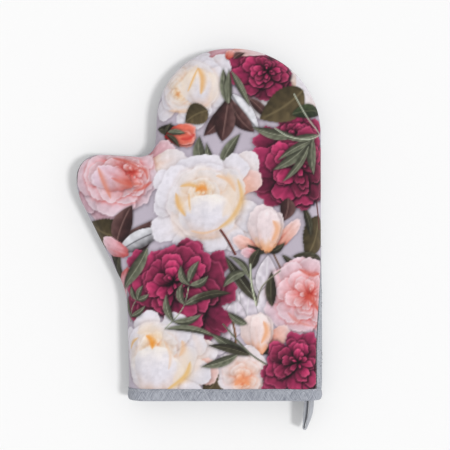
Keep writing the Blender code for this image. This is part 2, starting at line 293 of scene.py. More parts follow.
def layer(name, material, side, depths, spacing, underSpacing, ripple=0.0, dips=(1.0, 1.0)):
    # depths and dips are those of the outer face and the inner one; gives the piece and its flat coordinates
    bm, under = flatPanel(spacing, underSpacing, rawEdgeY)
    x, y = np.array([v.co.x for v in bm.verts]), np.array([v.co.y for v in bm.verts])
    low = np.array([v[under] for v in bm.verts]) > 0
    depth, dip = (np.where(low, inner, outer) for outer, inner in (depths, dips))
    px, py, pz, cutX, cutY = puff(x, y, depth, side, dip, ripple)
    for v, ax, ay, az in zip(bm.verts, px, py, pz):
        v.co = (ax * mm, ay * mm, az * mm)
    made = finishMesh(name, bm, material)
    addCloth(made, cutX * mm, cutY * mm)
    return made, cutX, cutY


blown = {
    "frames": 20,
    "quality": 8,
    "pressure": 0.3,
    "spare": 0.01,  # share of cloth to spare
    "pinned": 0.12,  # how far round the edge the cloth is held, as a share
    "pinnedCuff": 14,
    "stretch": 12.0,
    "bend": 0.15,
    "mass": 0.12,
    "keep": 0.42,  # the wadding flattens the folds to this share
}


def blowFront():
    # the front alone, held along its seam and cuff and blown up a little, with some cloth to spare
    bm = bmesh.new()
    made = trimmedGrid(bm, rise["spacing"], 0.0, rise["bottom"])
    x, y = np.array([v.co.x for v in made]), np.array([v.co.y for v in made])
    place = np.stack(puff(x, y, 0.0, 1)[:3], 1)
    for vert, at in zip(made, place):
        vert.co = at * mm
    piece = finishMesh("frontBlown", bm, wool)
    held = piece.vertex_groups.new(name="held")
    pinned = (onEdge(fromSeam(x, y)[0]) < blown["pinned"]) | (y < mitt["cuffY"] + blown["pinnedCuff"])
    for index, hold in enumerate(pinned):
        held.add([index], 1.0 if hold else 0.0, "REPLACE")
    cloth = piece.modifiers.new("cloth", "CLOTH")
    settings = cloth.settings
    settings.quality = blown["quality"]
    settings.mass = blown["mass"]
    settings.tension_stiffness = settings.compression_stiffness = blown["stretch"]
    settings.shear_stiffness = blown["stretch"] / 2
    settings.bending_stiffness = blown["bend"]
    settings.vertex_group_mass = held.name
    settings.use_pressure = True
    settings.uniform_pressure_force = blown["pressure"]
    settings.shrink_min = -blown["spare"]
    settings.effector_weights.gravity = 0
    cloth.point_cache.frame_end = blown["frames"]
    scene = bpy.context.scene
    for step in range(1, blown["frames"] + 1):
        scene.frame_set(step)
    settled = piece.evaluated_get(bpy.context.evaluated_depsgraph_get()).to_mesh()
    height = np.array([v.co.z for v in settled.vertices]) / mm - place[:, 2]
    scene.frame_set(1)
    bpy.data.objects.remove(piece)
    columns = np.rint((x - rise["left"]) / rise["width"] * riseShape[1]).astype(int)
    rows = np.rint((y - rise["bottom"]) / rise["height"] * riseShape[0]).astype(int)
    riseGrid[rows, columns] = rise["cap"] * np.tanh(height * blown["keep"] / rise["cap"])
    print(f"front blown up, rises {riseGrid.min():.2f} to {riseGrid.max():.2f} mm")


def addCloth(made, cutX, cutY):
    # the flat cut's coordinates, in metres, as the piece's UV map
    mesh = made.data
    corners = np.empty(len(mesh.loops), np.int32)
    mesh.loops.foreach_get("vertex_index", corners)
    values = np.stack([cutX[corners], cutY[corners]], axis=1).astype(np.float32)
    mesh.uv_layers.new(name="cut").data.foreach_set("uv", values.ravel())


# The printed pattern is painted into an array that covers the flat cloth.
printCloth = {
    "step": 0.4,
    "left": -126.0,
    "bottom": -150.0,
    "width": 250.0,
    "height": 330.0,
    "ground": (196, 186, 200),
    "sketchLine": (226, 220, 230),
    "depth": 0.93,  # how much of each ink's brightness the cloth keeps
    "seed": 11,
}


def srgb(colour):
    return np.array(colour, float) / 255


def toLinear(seen):
    # from a colour as it is seen, 0 to 1, to the value that the shaders take
    return np.where(seen <= 0.04045, seen / 12.92, ((seen + 0.055) / 1.055) ** 2.4)


def smoothNoise(rows, columns, cell, random):
    # soft value noise, 0 to 1, one blob about cell samples wide
    high, wide = int(rows / cell) + 3, int(columns / cell) + 3
    coarse = random.random((high, wide))
    y, x = np.arange(rows) / cell, np.arange(columns) / cell
    iy, ix = y.astype(int), x.astype(int)
    fy, fx = y - iy, x - ix
    fy, fx = (fy * fy * (3 - 2 * fy))[:, None], (fx * fx * (3 - 2 * fx))[None, :]
    a = coarse[np.ix_(iy, ix)] * (1 - fx) + coarse[np.ix_(iy, ix + 1)] * fx
    b = coarse[np.ix_(iy + 1, ix)] * (1 - fx) + coarse[np.ix_(iy + 1, ix + 1)] * fx
    return a * (1 - fy) + b * fy


printRandom = np.random.default_rng(printCloth["seed"])
printShape = (int(printCloth["height"] / printCloth["step"]), int(printCloth["width"] / printCloth["step"]))
painting = np.ones((*printShape, 3)) * srgb(printCloth["ground"])
grains = (1.2, 3, 8, 30)  # millimetres
grainAt = {size: smoothNoise(*printShape, size / printCloth["step"], printRandom) for size in grains}


def window(x, y, reach):
    # the samples within reach of a point, and how far each is from it
    step, left, bottom = printCloth["step"], printCloth["left"], printCloth["bottom"]
    c0, r0 = max(0, int((x - reach - left) / step)), max(0, int((y - reach - bottom) / step))
    c1 = min(printShape[1], int((x + reach - left) / step) + 2)
    r1 = min(printShape[0], int((y + reach - bottom) / step) + 2)
    if c0 >= c1 or r0 >= r1:
        return None
    px, py = left + np.arange(c0, c1) * step, bottom + np.arange(r0, r1) * step
    return (slice(r0, r1), slice(c0, c1)), px[None, :] - x, py[:, None] - y


def lay(where, colour, cover):
    painting[where] += (colour - painting[where]) * cover[..., None]


def ramp(stops, t):
    # a colour from evenly spaced stops
    t = np.clip(t, 0, 1) * (len(stops) - 1)
    low = np.minimum(t.astype(int), len(stops) - 2)
    table = np.array([srgb(s) for s in stops])
    f = (t - low)[..., None]
    return table[low] * (1 - f) + table[low + 1] * f


coolShade = (0.62, 0.58, 0.60)  # what a petal's shadow leaves of the red, green and blue under it
ruffles = (2, 3, 5, 9, 16, 25)  # waves round a petal's rim


def petal(x, y, angle, length, width, stops, kind, lift=0.0, notch=0.0, feather=0.3, castTint=coolShade):
    # one petal from its base at x, y; stops run from base to tip
    middle = (x + math.cos(angle) * length / 2, y + math.sin(angle) * length / 2)
    found = window(*middle, max(length, width) * 0.8 + 4)
    waves = [(k, printRandom.uniform(0, 6.28), printRandom.uniform(0.4, 1) / k ** 0.6) for k in ruffles]
    streakAt, side = printRandom.uniform(0, 50), printRandom.choice((-1, 1))
    if found is None:
        return
    where, dx, dy = found
    along = dx * math.cos(angle) + dy * math.sin(angle)
    across = -dx * math.sin(angle) + dy * math.cos(angle)
    u, v = along / (length / 2), across / (width / 2)
    v = v * (1.16 - 0.26 * u)  # broad at the tip, narrow at the base
    turn = np.arctan2(v, u)
    edge = 1 + kind["ruffle"] * sum(a * np.sin(k * turn + p) for k, p, a in waves)
    edge = edge - notch * np.exp(-(turn / 0.3) ** 2)
    r = np.sqrt(u * u + v * v) / edge
    size = min(length, width) / 2
    outside = (r - 1) * size
    away = np.hypot(dx, dy) + 1e-6
    below = np.clip((0.45 * dx - 0.85 * dy) / away, 0, 1)  # light comes from the upper left
    cast = np.exp(-(np.maximum(outside, 0) / (0.9 + 0.06 * size)) ** 2) * (outside > -0.6)
    cast = cast * kind["shadow"] * (0.4 + 0.6 * below)
    painting[where] *= 1 - cast[..., None] * (1 - np.array(castTint))
    grain, fine = grainAt[3][where] - 0.5, grainAt[1.2][where] - 0.5
    streak = np.sin(turn * 7 + streakAt + 3 * grain) * 0.5 + np.sin(v * 9 + streakAt * 2 + 2 * grain) * 0.5
    t = (u + 1) / 2 + 0.08 * grain + 0.05 * streak
    colour = ramp(stops, t)
    flank = soft(0.45, 1.0, r) * soft(0.3, -0.6, u)  # the flanks turn into shadow
    crease = np.exp(-((v - side * 0.35) / 0.16) ** 2) * soft(0.7, -0.3, u) * kind["crease"]
    shadeAt = np.clip(0.75 * flank + crease, 0, 1)[..., None] * kind["shade"]
    colour = colour * (1 - shadeAt * (1 - np.array(kind["tint"])))
    roll = 0.5 * v * math.sin(angle + 2.4) + 0.35 * u * math.cos(angle - 2.0) - 0.3 * v * v
    light = 1 + kind["roll"] * roll + kind["streak"] * streak + 0.06 * grain + 0.03 * fine + lift
    colour = colour * light[..., None]
    lit = np.exp(-((r - 0.95) * size / 0.7) ** 2) * soft(-0.2, 0.7, u) * kind["edge"]
    colour = colour + (srgb(kind["rim"]) - colour) * lit[..., None]
    lay(where, np.clip(colour, 0, 1), soft(feather, -feather, outside))


def flower(x, y, radius, heart, kind, tall=1.0, turn=0.0):
    # rings of petals from the outside in; the rings draw towards the heart
    rings = kind["rings"]
    for k, (share, count, wide) in enumerate(rings):
        cx, cy = x + (heart[0] - x) * (1 - share), y + (heart[1] - y) * (1 - share)
        depth = k / (len(rings) - 1)
        stops = np.array(kind["outer"]) * (1 - depth) + np.array(kind["inner"]) * depth
        ringTurn = turn + printRandom.uniform(0, 6.28)
        for j in printRandom.permutation(count):
            angle = ringTurn + (j + printRandom.uniform(-0.3, 0.3)) * 2 * math.pi / count
            stretch = math.hypot(math.cos(angle), math.sin(angle) * tall)
            loose = kind["loose"] * (1 - depth)
            reach = radius * share * stretch * printRandom.uniform(0.86 - loose, 1.06 + loose)
            start = reach * printRandom.uniform(0.0, 0.25)
            way = math.atan2(math.sin(angle) * tall, math.cos(angle)) + printRandom.uniform(-0.25, 0.25)
            petal(
                cx + math.cos(way) * start, cy + math.sin(way) * start, way, reach - start,
                radius * share * wide * printRandom.uniform(0.8, 1.2), stops, kind,
                printRandom.uniform(-1, 1) * kind["vary"], printRandom.uniform(0, 1) * kind["notch"],
                kind["feather"], kind["tint"] if k else coolShade,
            )


def glow(points, width, colour, strength=0.8):
    # a soft warm crease along a curve
    line, centre, found = alongCurve(points, width * 2)
    if found is None:
        return
    where, best, side, t = nearCurve(line, centre, found)
    taper = np.sin(math.pi * np.clip(t, 0.02, 0.98)) ** 0.7
    reach = width * np.where(side > 0, 1.0, 0.45) * taper + 0.05
    lay(where, srgb(colour), np.exp(-(best / reach) ** 2) * strength)


def leaf(kind, x0, y0, x1, y1, width, bend=0.0, point=0.85, veins=0.10, saw=0.0):
    # a leaf from base to tip, with its colours across it
    length = math.hypot(x1 - x0, y1 - y0)
    angle = math.atan2(y1 - y0, x1 - x0)
    found = window((x0 + x1) / 2, (y0 + y1) / 2, length / 2 + width)
    if found is None:
        return
    where, dx, dy = found
    u = (dx * math.cos(angle) + dy * math.sin(angle)) / length + 0.5
    inside = np.clip(u, 0, 1)
    across = -dx * math.sin(angle) + dy * math.cos(angle) - bend * width * 4 * inside * (1 - inside)
    half = width / 2 * np.sin(math.pi * inside ** point) ** 0.85
    half = half * (1 + saw * np.abs(np.sin(u * 38)))
    beyond = np.maximum(-u, u - 1) * length
    outside = np.maximum(np.abs(across) - half, beyond)
    cast = np.exp(-(np.maximum(outside, 0) / 1.3) ** 2) * 0.25
    painting[where] *= (1 - cast)[..., None]
    v = across / np.maximum(half, 0.2)
    grain = grainAt[3][where] - 0.5
    vein = np.sin((u * 30 - np.abs(v) * 5) + 2 * grain)
    t = 0.5 + 0.42 * np.clip(v, -1, 1) + 0.15 * grain
    colour = ramp(kind["stops"], t) * (1 + veins * vein * 0.5 + 0.16 * grain)[..., None]
    mid = np.exp(-(across / max(0.35, width * 0.035)) ** 2) * soft(1.0, 0.8, u)
    colour = colour + (srgb(kind["rib"]) - colour) * (mid * 0.75)[..., None]
    lay(where, np.clip(colour, 0, 1), soft(0.3, -0.3, outside))


def alongCurve(points, margin):
    # a smooth line through points, its middle and the samples round it
    points = [np.array(p, float) for p in points]
    line = []
    for i in range(len(points) - 1):
        a, b, c, d = points[max(i - 1, 0)], points[i], points[i + 1], points[min(i + 2, len(points) - 1)]
        for t in np.linspace(0, 1, 14, endpoint=False):
            bend = (2 * a - 5 * b + 4 * c - d) * t * t + (3 * b - a - 3 * c + d) * t ** 3
            line.append(0.5 * (2 * b + (c - a) * t + bend))
    line = np.array([*line, points[-1]])
    centre = line.mean(axis=0)
    return line, centre, window(*centre, np.ptp(line, axis=0).max() / 2 + 6 + margin)


def nearCurve(line, centre, found):
    # how far each sample is from the line, on which side, and how far along
    where, dx, dy = found
    gx, gy = np.broadcast_arrays(dx + centre[0], dy + centre[1])
    best, side, far = np.full(gx.shape, 1e9), np.zeros(gx.shape), np.zeros(gx.shape)
    for i, (a, b) in enumerate(zip(line, line[1:])):
        ab = b - a
        t = np.clip(((gx - a[0]) * ab[0] + (gy - a[1]) * ab[1]) / max(ab @ ab, 1e-9), 0, 1)
        ox, oy = gx - a[0] - t * ab[0], gy - a[1] - t * ab[1]
        d = np.hypot(ox, oy)
        near = d < best
        best = np.where(near, d, best)
        side = np.where(near, np.sign(ab[0] * oy - ab[1] * ox), side)
        far = np.where(near, (i + t) / (len(line) - 1), far)
    return where, best, side, far


def stem(points, width, colour, light=1.25, cover=1.0):
    # a thin stalk along a smooth curve through points
    line, centre, found = alongCurve(points, width)
    if found is None:
        return
    where, best, side, _ = nearCurve(line, centre, found)
    shine = np.where(side > 0, light, 0.85)
    reach = soft(width / 2 + 0.3, max(width / 2 - 0.3, 0), best)
    lay(where, np.clip(srgb(colour) * shine[..., None], 0, 1), reach * cover)


def sprig(kind, x0, y0, x1, y1, pairs, leafLength, leafWidth, stalk, bow):
    # a stalk with narrow leaves on both sides and one at its tip
    dx, dy = x1 - x0, y1 - y0
    bowX, bowY = -dy * bow, dx * bow
    stem([(x0, y0), (x0 + dx / 2 + bowX, y0 + dy / 2 + bowY), (x1, y1)], 0.9, stalk)
    heading = math.atan2(dy, dx)
    for k in range(pairs):
        t = 0.18 + 0.72 * k / max(pairs - 1, 1)
        x = x0 + dx * t + bowX * 4 * t * (1 - t)
        y = y0 + dy * t + bowY * 4 * t * (1 - t)
        for side in (-1, 1):
            angle = heading + side * printRandom.uniform(0.5, 0.95)
            reach = leafLength * (1.05 - 0.35 * t) * printRandom.uniform(0.8, 1.15)
            bend = side * printRandom.uniform(0.1, 0.6)
            leaf(kind, x, y, x + math.cos(angle) * reach, y + math.sin(angle) * reach, leafWidth, bend)
    reach = leafLength * 0.7
    tip = (x1 + math.cos(heading) * reach, y1 + math.sin(heading) * reach)
    leaf(kind, x1 - dx * 0.06, y1 - dy * 0.06, *tip, leafWidth, 0.2)


# Rings run from the outside in: each ring's share of the radius, its petals and how broad they are.
# The colours of the outer ring and of the heart run from a petal's base to its tip.
creamRose = {
    "rings": [
        (1.0, 7, 1.15), (0.84, 5, 1.25), (0.66, 5, 1.15), (0.5, 4, 1.05), (0.36, 4, 0.95), (0.23, 4, 0.8),
        (0.13, 3, 0.8),
    ],
    "outer": [(236, 218, 214), (236, 230, 237), (232, 228, 238)],
    "inner": [(226, 150, 88), (241, 206, 166), (243, 229, 214)],
    "rim": (250, 246, 249), "tint": (0.97, 0.86, 0.76), "ruffle": 0.085, "shadow": 0.4,
    "shade": 0.5, "crease": 0.3,
    "roll": 0.08, "streak": 0.012, "edge": 0.25, "vary": 0.02, "notch": 0.12, "loose": 0.12, "feather": 0.5,
    "outerNotch": 0.1,
}
burgundyPeony = {
    "rings": [
        (1.0, 8, 0.8), (0.88, 7, 0.74), (0.72, 6, 0.7), (0.56, 5, 0.66), (0.42, 5, 0.56), (0.28, 4, 0.48),
        (0.16, 3, 0.36),
    ],
    "outer": [(46, 12, 30), (112, 28, 62), (160, 48, 88)],
    "inner": [(52, 8, 30), (160, 34, 82), (216, 70, 118)],
    "rim": (222, 104, 142), "tint": (0.24, 0.18, 0.28), "ruffle": 0.12, "shadow": 0.95,
    "shade": 0.85, "crease": 0.45,
    "roll": 0.34, "streak": 0.05, "edge": 0.4, "vary": 0.22, "notch": 0.25, "loose": 0.12, "feather": 0.3,
    "outerNotch": 0.2,
}
pinkPeony = {
    "rings": [
        (1.0, 7, 1.0), (0.86, 6, 1.0), (0.72, 5, 0.95), (0.56, 5, 0.8), (0.42, 5, 0.66), (0.28, 4, 0.54),
        (0.17, 3, 0.4),
    ],
    "outer": [(222, 156, 160), (228, 190, 202), (234, 210, 221)],
    "inner": [(200, 80, 68), (228, 136, 128), (240, 196, 200)],
    "rim": (248, 232, 239), "tint": (0.92, 0.58, 0.54), "ruffle": 0.11, "shadow": 0.55,
    "shade": 0.75, "crease": 0.55,
    "roll": 0.15, "streak": 0.025, "edge": 0.4, "vary": 0.05, "notch": 0.16, "loose": 0.1, "feather": 0.4,
}
peachRose = {
    "rings": [
        (1.0, 6, 1.15), (0.82, 5, 1.15), (0.62, 4, 1.05), (0.44, 4, 0.9), (0.28, 3, 0.8), (0.15, 3, 0.7),
    ],
    "outer": [(240, 206, 194), (238, 224, 226), (236, 228, 235)],
    "inner": [(230, 128, 86), (242, 178, 142), (246, 214, 196)],
    "rim": (250, 242, 243), "tint": (0.96, 0.76, 0.66), "ruffle": 0.09, "shadow": 0.4,
    "shade": 0.55, "crease": 0.35,
    "roll": 0.09, "streak": 0.014, "edge": 0.3, "vary": 0.025, "notch": 0.12, "loose": 0.12, "feather": 0.5,
}
greyGreen = {"stops": [(56, 56, 46), (90, 92, 76), (130, 134, 114)], "rib": (172, 174, 152)}
darkGreen = {"stops": [(36, 34, 28), (56, 52, 42), (82, 80, 62)], "rib": (108, 106, 84)}
deepGreen = {"stops": [(34, 40, 30), (50, 60, 40), (66, 78, 52)], "rib": (108, 106, 84)}
olive = {"stops": [(58, 50, 34), (82, 70, 48), (104, 90, 64)], "rib": (124, 110, 80)}
maroon = {"stops": [(42, 26, 28), (74, 46, 46), (112, 82, 80)], "rib": (150, 118, 112)}
paleLily = {"stops": [(226, 216, 226), (214, 204, 216), (236, 230, 236)], "rib": (240, 236, 240)}
whiteLily = {"stops": [(206, 204, 212), (236, 236, 242), (226, 224, 232)], "rib": (70, 66, 74)}
shadedLily = {"stops": [(70, 66, 70), (206, 206, 212), (232, 232, 238)], "rib": (60, 56, 62)}

blushPetal = [(228, 136, 112), (239, 186, 172), (240, 208, 206)]
creamPetal = [(240, 196, 164), (240, 226, 224), (237, 231, 238)]
coralPetal = [(196, 84, 70), (226, 140, 128), (238, 190, 188)]
rosePetal = [(204, 118, 124), (228, 172, 182), (234, 198, 208)]
mauvePetal = [(204, 144, 156), (214, 168, 182), (224, 190, 204)]
shadedPetal = [(120, 60, 66), (228, 220, 226), (240, 236, 240)]
tipPetal = [(232, 160, 148), (238, 204, 206), (238, 216, 222)]
lowPetal = [(224, 150, 140), (228, 188, 200), (230, 206, 220)]
cupPetal = [(236, 218, 214), (234, 228, 236), (234, 230, 239), (240, 234, 238), (247, 238, 230)]
smoothRose = {**creamRose, "shadow": 0.3, "edge": 0.3, "ruffle": 0.06, "crease": 0.12}
gold, apricot, coral = (238, 178, 98), (242, 196, 156), (206, 84, 68)


def leaves(kind, *places, **shape):
    # each place holds what a leaf takes after its kind
    for place in places:
        leaf(kind, *place, **shape)


def petals(stops, kind, *places):
    for place in places:
        petal(*place, stops, kind)


def outerPetals(kind, *places):
    # loose petals round a big flower, laid before its rings
    for place in places:
        petal(*place, kind["outer"], kind, 0.0, kind["outerNotch"], kind["feather"])


def glows(*creases):
    for crease in creases:
        glow(*crease)


def bud(x, y, radius, angle, colours, kind):
    # wrapped petals, an egg seen from the side, over its sepals
    outer, inner = colours
    back = (x - math.cos(angle) * radius, y - math.sin(angle) * radius)
    reach = radius * 0.85
    for turn in (-1.15, -0.45, 0.5, 1.2):
        tip = (back[0] + math.cos(angle + turn) * reach, back[1] + math.sin(angle + turn) * reach)
        leaf(darkGreen, *back, *tip, radius * 0.3, turn * 0.3)
    stops = [inner, outer, outer, tuple(min(255, c + 8) for c in outer)]
    for turn, long, wide, lift in (
        (0.5, 1.8, 1.0, -0.05), (-0.5, 1.8, 1.0, -0.08), (0.1, 1.95, 1.35, 0.0), (-0.25, 1.8, 0.95, 0.03),
    ):
        petal(*back, angle + turn * 0.45, radius * long, radius * wide * 1.15, stops, kind, lift)


def cup(x, y, reach, width, angle=1.57):
    # the big front petals of a half-open rose, hiding the lower part of its heart
    for turn, share, wide in ((0.42, 0.92, 0.8), (-0.46, 0.88, 0.8), (0.0, 1.0, 1.05)):
        petal(
            x, y, angle + turn, reach * share, width * wide, cupPetal, smoothRose, 0.0, 0.04, 1.1,
            (0.96, 0.86, 0.74),
        )


def sketchLines():
    # faint drawn petals on the ground
    for _ in range(46):
        x, y = printRandom.uniform(-115, 105), printRandom.uniform(-140, 165)
        a = printRandom.uniform(0, 6.28)
        reach = printRandom.uniform(14, 34)
        bow = printRandom.uniform(-0.5, 0.5)
        middle = (x + math.cos(a + bow) * reach * 0.5, y + math.sin(a + bow) * reach * 0.5)
        end = (x + math.cos(a) * reach, y + math.sin(a) * reach)
        stem([(x, y), middle, end], 0.35, printCloth["sketchLine"], 1.0)


def paintGround():
    painting[:] *= (0.97 + 0.06 * grainAt[30] + 0.02 * grainAt[8])[..., None]
    sketchLines()
    leaves(
        paleLily, (47, -64, 24, -30, 26, 0.1), (40, -74, 46, -34, 20, 0.1), (60, -52, 58, -14, 20, 0.1),
        (30, -40, 14, -66, 18, 0.1), (52, -66, 70, -34, 18, 0.1), (26, -84, 30, -50, 20, -0.1),
        (16, -98, 24, -72, 16, 0.1), point=0.8, veins=0.05,
    )
    leaves(
        olive, (103, 19, 90, -16, 24, 0.1), (19.5, -109, 3, -132, 22, 0.1), (62, 52, 74, 24, 14, 0.1),
        point=0.75, saw=0.05,
    )
    leaves(
        darkGreen, (79, -15, 108, -18, 7, 0.2), (-75, -12, -67, -44, 8, 0.1), (-68, -12, -75, -38, 6, 0.1),
        (52, 26, 62, 12, 8, 0.1), (88, 26, 94, 2, 6, 0.2), (70, -14, 84, -30, 5, 0.2),
    )
    stem([(98, 40), (101, 26), (104, 8)], 1.6, (92, 44, 40))
    stem([(27, -66), (30, -80), (31, -96)], 1.8, (120, 84, 62))
    stem([(62, -12), (70, -28), (78, -40)], 1.4, (104, 76, 58))


def paintTop():
    petal(2, 152, 0.5, 36, 20, mauvePetal, pinkPeony)
    petals(coralPetal, pinkPeony, (24, 150, 0.75, 24, 18), (36, 152, 0.9, 18, 20))
    petal(42, 128, -0.95, 32, 24, shadedPetal, creamRose)
    petal(80, 114, 1.1, 42, 32, creamPetal, creamRose)
    petal(88, 104, 1.3, 42, 32, creamRose["outer"], creamRose)
    glow([(92, 142), (99, 132), (103, 118)], 1.6, apricot, 0.6)
    flower(54, 140, 29, (58, 142), burgundyPeony, 0.82, 0.2)
    petal(22, 158, 0.12, 36, 13, tipPetal, peachRose)
    outerPetals(
        creamRose, (-6, 146, 1.3, 20, 26), (8, 142, 0.45, 20, 22), (4, 130, -0.2, 17, 22),
        (-22, 134, 2.4, 22, 24), (-20, 116, 3.7, 22, 22), (-6, 114, -1.7, 22, 26), (2, 116, -0.9, 15, 22),
    )
    flower(-8, 130, 29, (-20, 121), creamRose, 1.05, 0.9)
    cup(4, 112, 32, 24, 1.85)
    glows(
        ([(-3, 146), (-12, 132), (-16, 116)], 9.0, (248, 222, 192), 0.5),
        ([(8, 140), (12, 128), (8, 116)], 7.0, (247, 226, 204), 0.5),
        ([(-1.5, 144), (-6, 134), (-10, 124)], 1.3, gold, 0.75),
        ([(-1.5, 144), (2, 135), (1, 122)], 3.8, (236, 176, 104), 0.8),
        ([(-26, 108), (-12, 107), (0, 112)], 2.0, apricot, 0.6),
    )
    petal(24, 151, 1.3, 12, 9, coralPetal, pinkPeony)
    leaf(maroon, 29, 152, 38, 158, 6, 0.2)
    # the hanging bell of dark petals, its pale ones and the leaves over it
    leaf(olive, 7, 108, -12, 98, 18, -0.1, 0.75, saw=0.05)
    leaf(maroon, 42, 118, 60, 100, 8, 0.1, 0.9, 0.03)
    leaf(whiteLily, 27, 122, 50, 92, 16, -0.1, 0.9, 0.02)
    leaves(
        maroon, (25, 121, 4, 87, 13, 0.3), (25, 121, 46, 90, 13, -0.3), (25, 121, 19, 82, 17),
        point=1.25, veins=0.04,
    )
    leaves(greyGreen, (24, 114, 20, 143, 8, 0.1), (25, 114, 25, 142, 6, 0.1), (27, 141, 42, 112, 6, 0.1))


def paintRightPeonies():
    flower(82, 86, 24, (82, 86), burgundyPeony, 0.85, 1.0)
    outerPetals(burgundyPeony, (70, 76, 2.6, 26, 24), (70, 56, 3.2, 26, 24), (72, 44, 3.7, 24, 24))
    flower(80, 59, 36, (86, 64), burgundyPeony, 1.05, 0.5)
    leaf(maroon, 75, 34, 71, 15, 13, 0.1, 0.8, 0.03)
    leaf(olive, 88, 126, 51, 101, 27, 0.1, 0.8, saw=0.04)
    leaf(deepGreen, 78, 105, 110, 109, 12, 0.1)
    leaves(
        greyGreen, (80, 86, 45, 94, 9, 0.2), (96, 86, 62, 58, 10, 0.3), (98, 84, 66, 66, 6, -0.3),
        (96, 84, 97, 54, 9, -0.2), (101, 88, 74, 84, 6, 0.2), (92, 78, 70, 48, 6, 0.4),
    )
    stem([(104, 88), (92, 84), (76, 86), (64, 93)], 1.3, (162, 168, 150))
    stem([(104, 89), (92, 101), (80, 122)], 1.3, (164, 168, 152))


def paintThumb():
    leaf(darkGreen, -16, 92, -38, 93, 9, 0.1)
    bud(-15, 87, 13, 0.0, ((232, 116, 96), (186, 44, 46)), pinkPeony)
    glow([(-16, 84), (-9, 84), (-4, 88)], 2.6, (200, 50, 48), 0.7)
    leaf(greyGreen, -27, 90, -12, 89, 5, 0.1)
    leaf(darkGreen, -28, 88, -17, 77, 4.5, 0.3)
    petal(-48, 60, 0.75, 32, 20, rosePetal, pinkPeony)
    petal(-50, 54, 0.3, 44, 28, creamPetal, peachRose)
    petals(mauvePetal, pinkPeony, (-78, 44, -1.45, 34, 40), (-92, 46, -1.9, 26, 26))
    flower(-71, 52, 36, (-52, 57), pinkPeony, 0.86, 0.3)
    petal(-58, 44, 2.75, 34, 24, lowPetal, pinkPeony)
    glows(
        ([(-86, 60), (-81, 47), (-75, 34)], 3.0, (226, 128, 98), 0.65),
        ([(-74, 70), (-63, 66), (-52, 60)], 2.6, coral, 0.65),
        ([(-74, 51), (-62, 46), (-48, 46)], 3.0, (212, 96, 78), 0.65),
        ([(-56, 40), (-48, 42), (-40, 48)], 2.2, coral, 0.65),
        ([(-52, 60), (-46, 57), (-44, 50)], 2.0, coral, 0.65),
    )


def paintLeftLeaves():
    # the dark line along the thumb's upper left edge, and the leaves and lily under it
    stem([(-112, 50), (-110, 62), (-104, 74), (-95, 80)], 9.0, (58, 50, 54), 1.1)
    leaf(olive, -66, 2, -96, 12, 26, 0.1, 0.75, saw=0.05)
    leaves(maroon, (-69, -6, -40, 15, 20, -0.3), (-70, -4, -57, 28, 17, 0.1), veins=0.04)
    leaf(shadedLily, -69, -12, -28, 8, 15, 0.15, 0.9, 0.02)


def paintMiddle():
    leaves(
        greyGreen, (3, 60, 0, 86, 10, 0.2), (12, 60, 6, 80, 6, 0.2), (18, 60, 34, 88, 9, 0.2),
        (12, 66, -14, 54, 13, 0.2),
    )
    petal(26, 50, 0.7, 30, 26, creamPetal, peachRose)
    petal(28, 40, 0.55, 27, 22, blushPetal, peachRose)
    petal(22, 12, -0.35, 26, 22, creamPetal, creamRose)
    outerPetals(
        creamRose, (20, 44, 1.0, 30, 26), (4, 48, 1.75, 20, 26), (-12, 42, 2.75, 28, 24),
        (24, 24, -0.3, 27, 28), (-6, 18, 3.55, 38, 26), (-14, 30, 3.15, 26, 24), (18, 12, -0.85, 26, 24),
        (-2, 12, -2.05, 28, 28), (10, 10, -1.4, 22, 24),
    )
    flower(5, 31, 38, (1, 43), creamRose, 0.9, 0.1)
    cup(6, 1, 37, 44)
    glows(
        ([(24, 54), (28, 36), (20, 20)], 13.0, (248, 222, 196), 0.55),
        ([(-12, 46), (-14, 34), (-8, 22)], 8.0, (248, 224, 200), 0.5),
        ([(-24, 20), (-18, 6), (-6, 0)], 6.0, (246, 222, 206), 0.4),
        ([(32, 50), (35, 34), (27, 18), (15, 8)], 3.4, (236, 186, 116), 0.75),
        ([(17, 9), (4, 5), (-8, 7)], 1.2, apricot, 0.8),
        ([(-20, 38), (-18, 28), (-12, 19)], 3.6, gold, 0.75),
        ([(-9, 38), (-9, 31), (-8, 24)], 1.0, gold, 0.7),
        ([(-16, 44), (-8, 45), (-1, 43)], 2.4, gold, 0.7),
        ([(14, 53), (24, 49), (30, 40)], 3.0, apricot, 0.8),
        ([(-3, 40), (2, 43), (6, 41)], 3.4, (240, 150, 62), 0.8),
    )
    petals(blushPetal, pinkPeony, (64, -8, 0.85, 30, 13), (52, -10, 2.75, 26, 13))
    bud(56, 9, 20, 1.6, ((238, 221, 224), (243, 188, 138)), peachRose)
    glow([(62, 15), (65, 8), (61, -2)], 4.0, (244, 172, 122), 0.75)
    stem([(18, 7), (24, -2), (30, -13)], 2.2, (100, 52, 46))
    petals(rosePetal, pinkPeony, (50, -14, 2.9, 15, 10), (-60, -13, 2.75, 26, 17), (-60, -24, -2.0, 34, 12))
    outerPetals(
        burgundyPeony, (-8, -56, -0.95, 36, 26), (2, -44, -0.1, 30, 26), (-40, -50, 3.6, 28, 24),
        (-14, -22, 1.2, 24, 24), (-40, -28, 2.5, 24, 22), (0, -30, 0.55, 28, 24), (-20, -62, -1.6, 24, 24),
        (0, -56, -0.6, 32, 24),
    )
    flower(-20, -42, 42, (-22, -35), burgundyPeony, 0.95, 0.7)
    leaf(greyGreen, -44, -8, -68, -44, 10, 0.2)


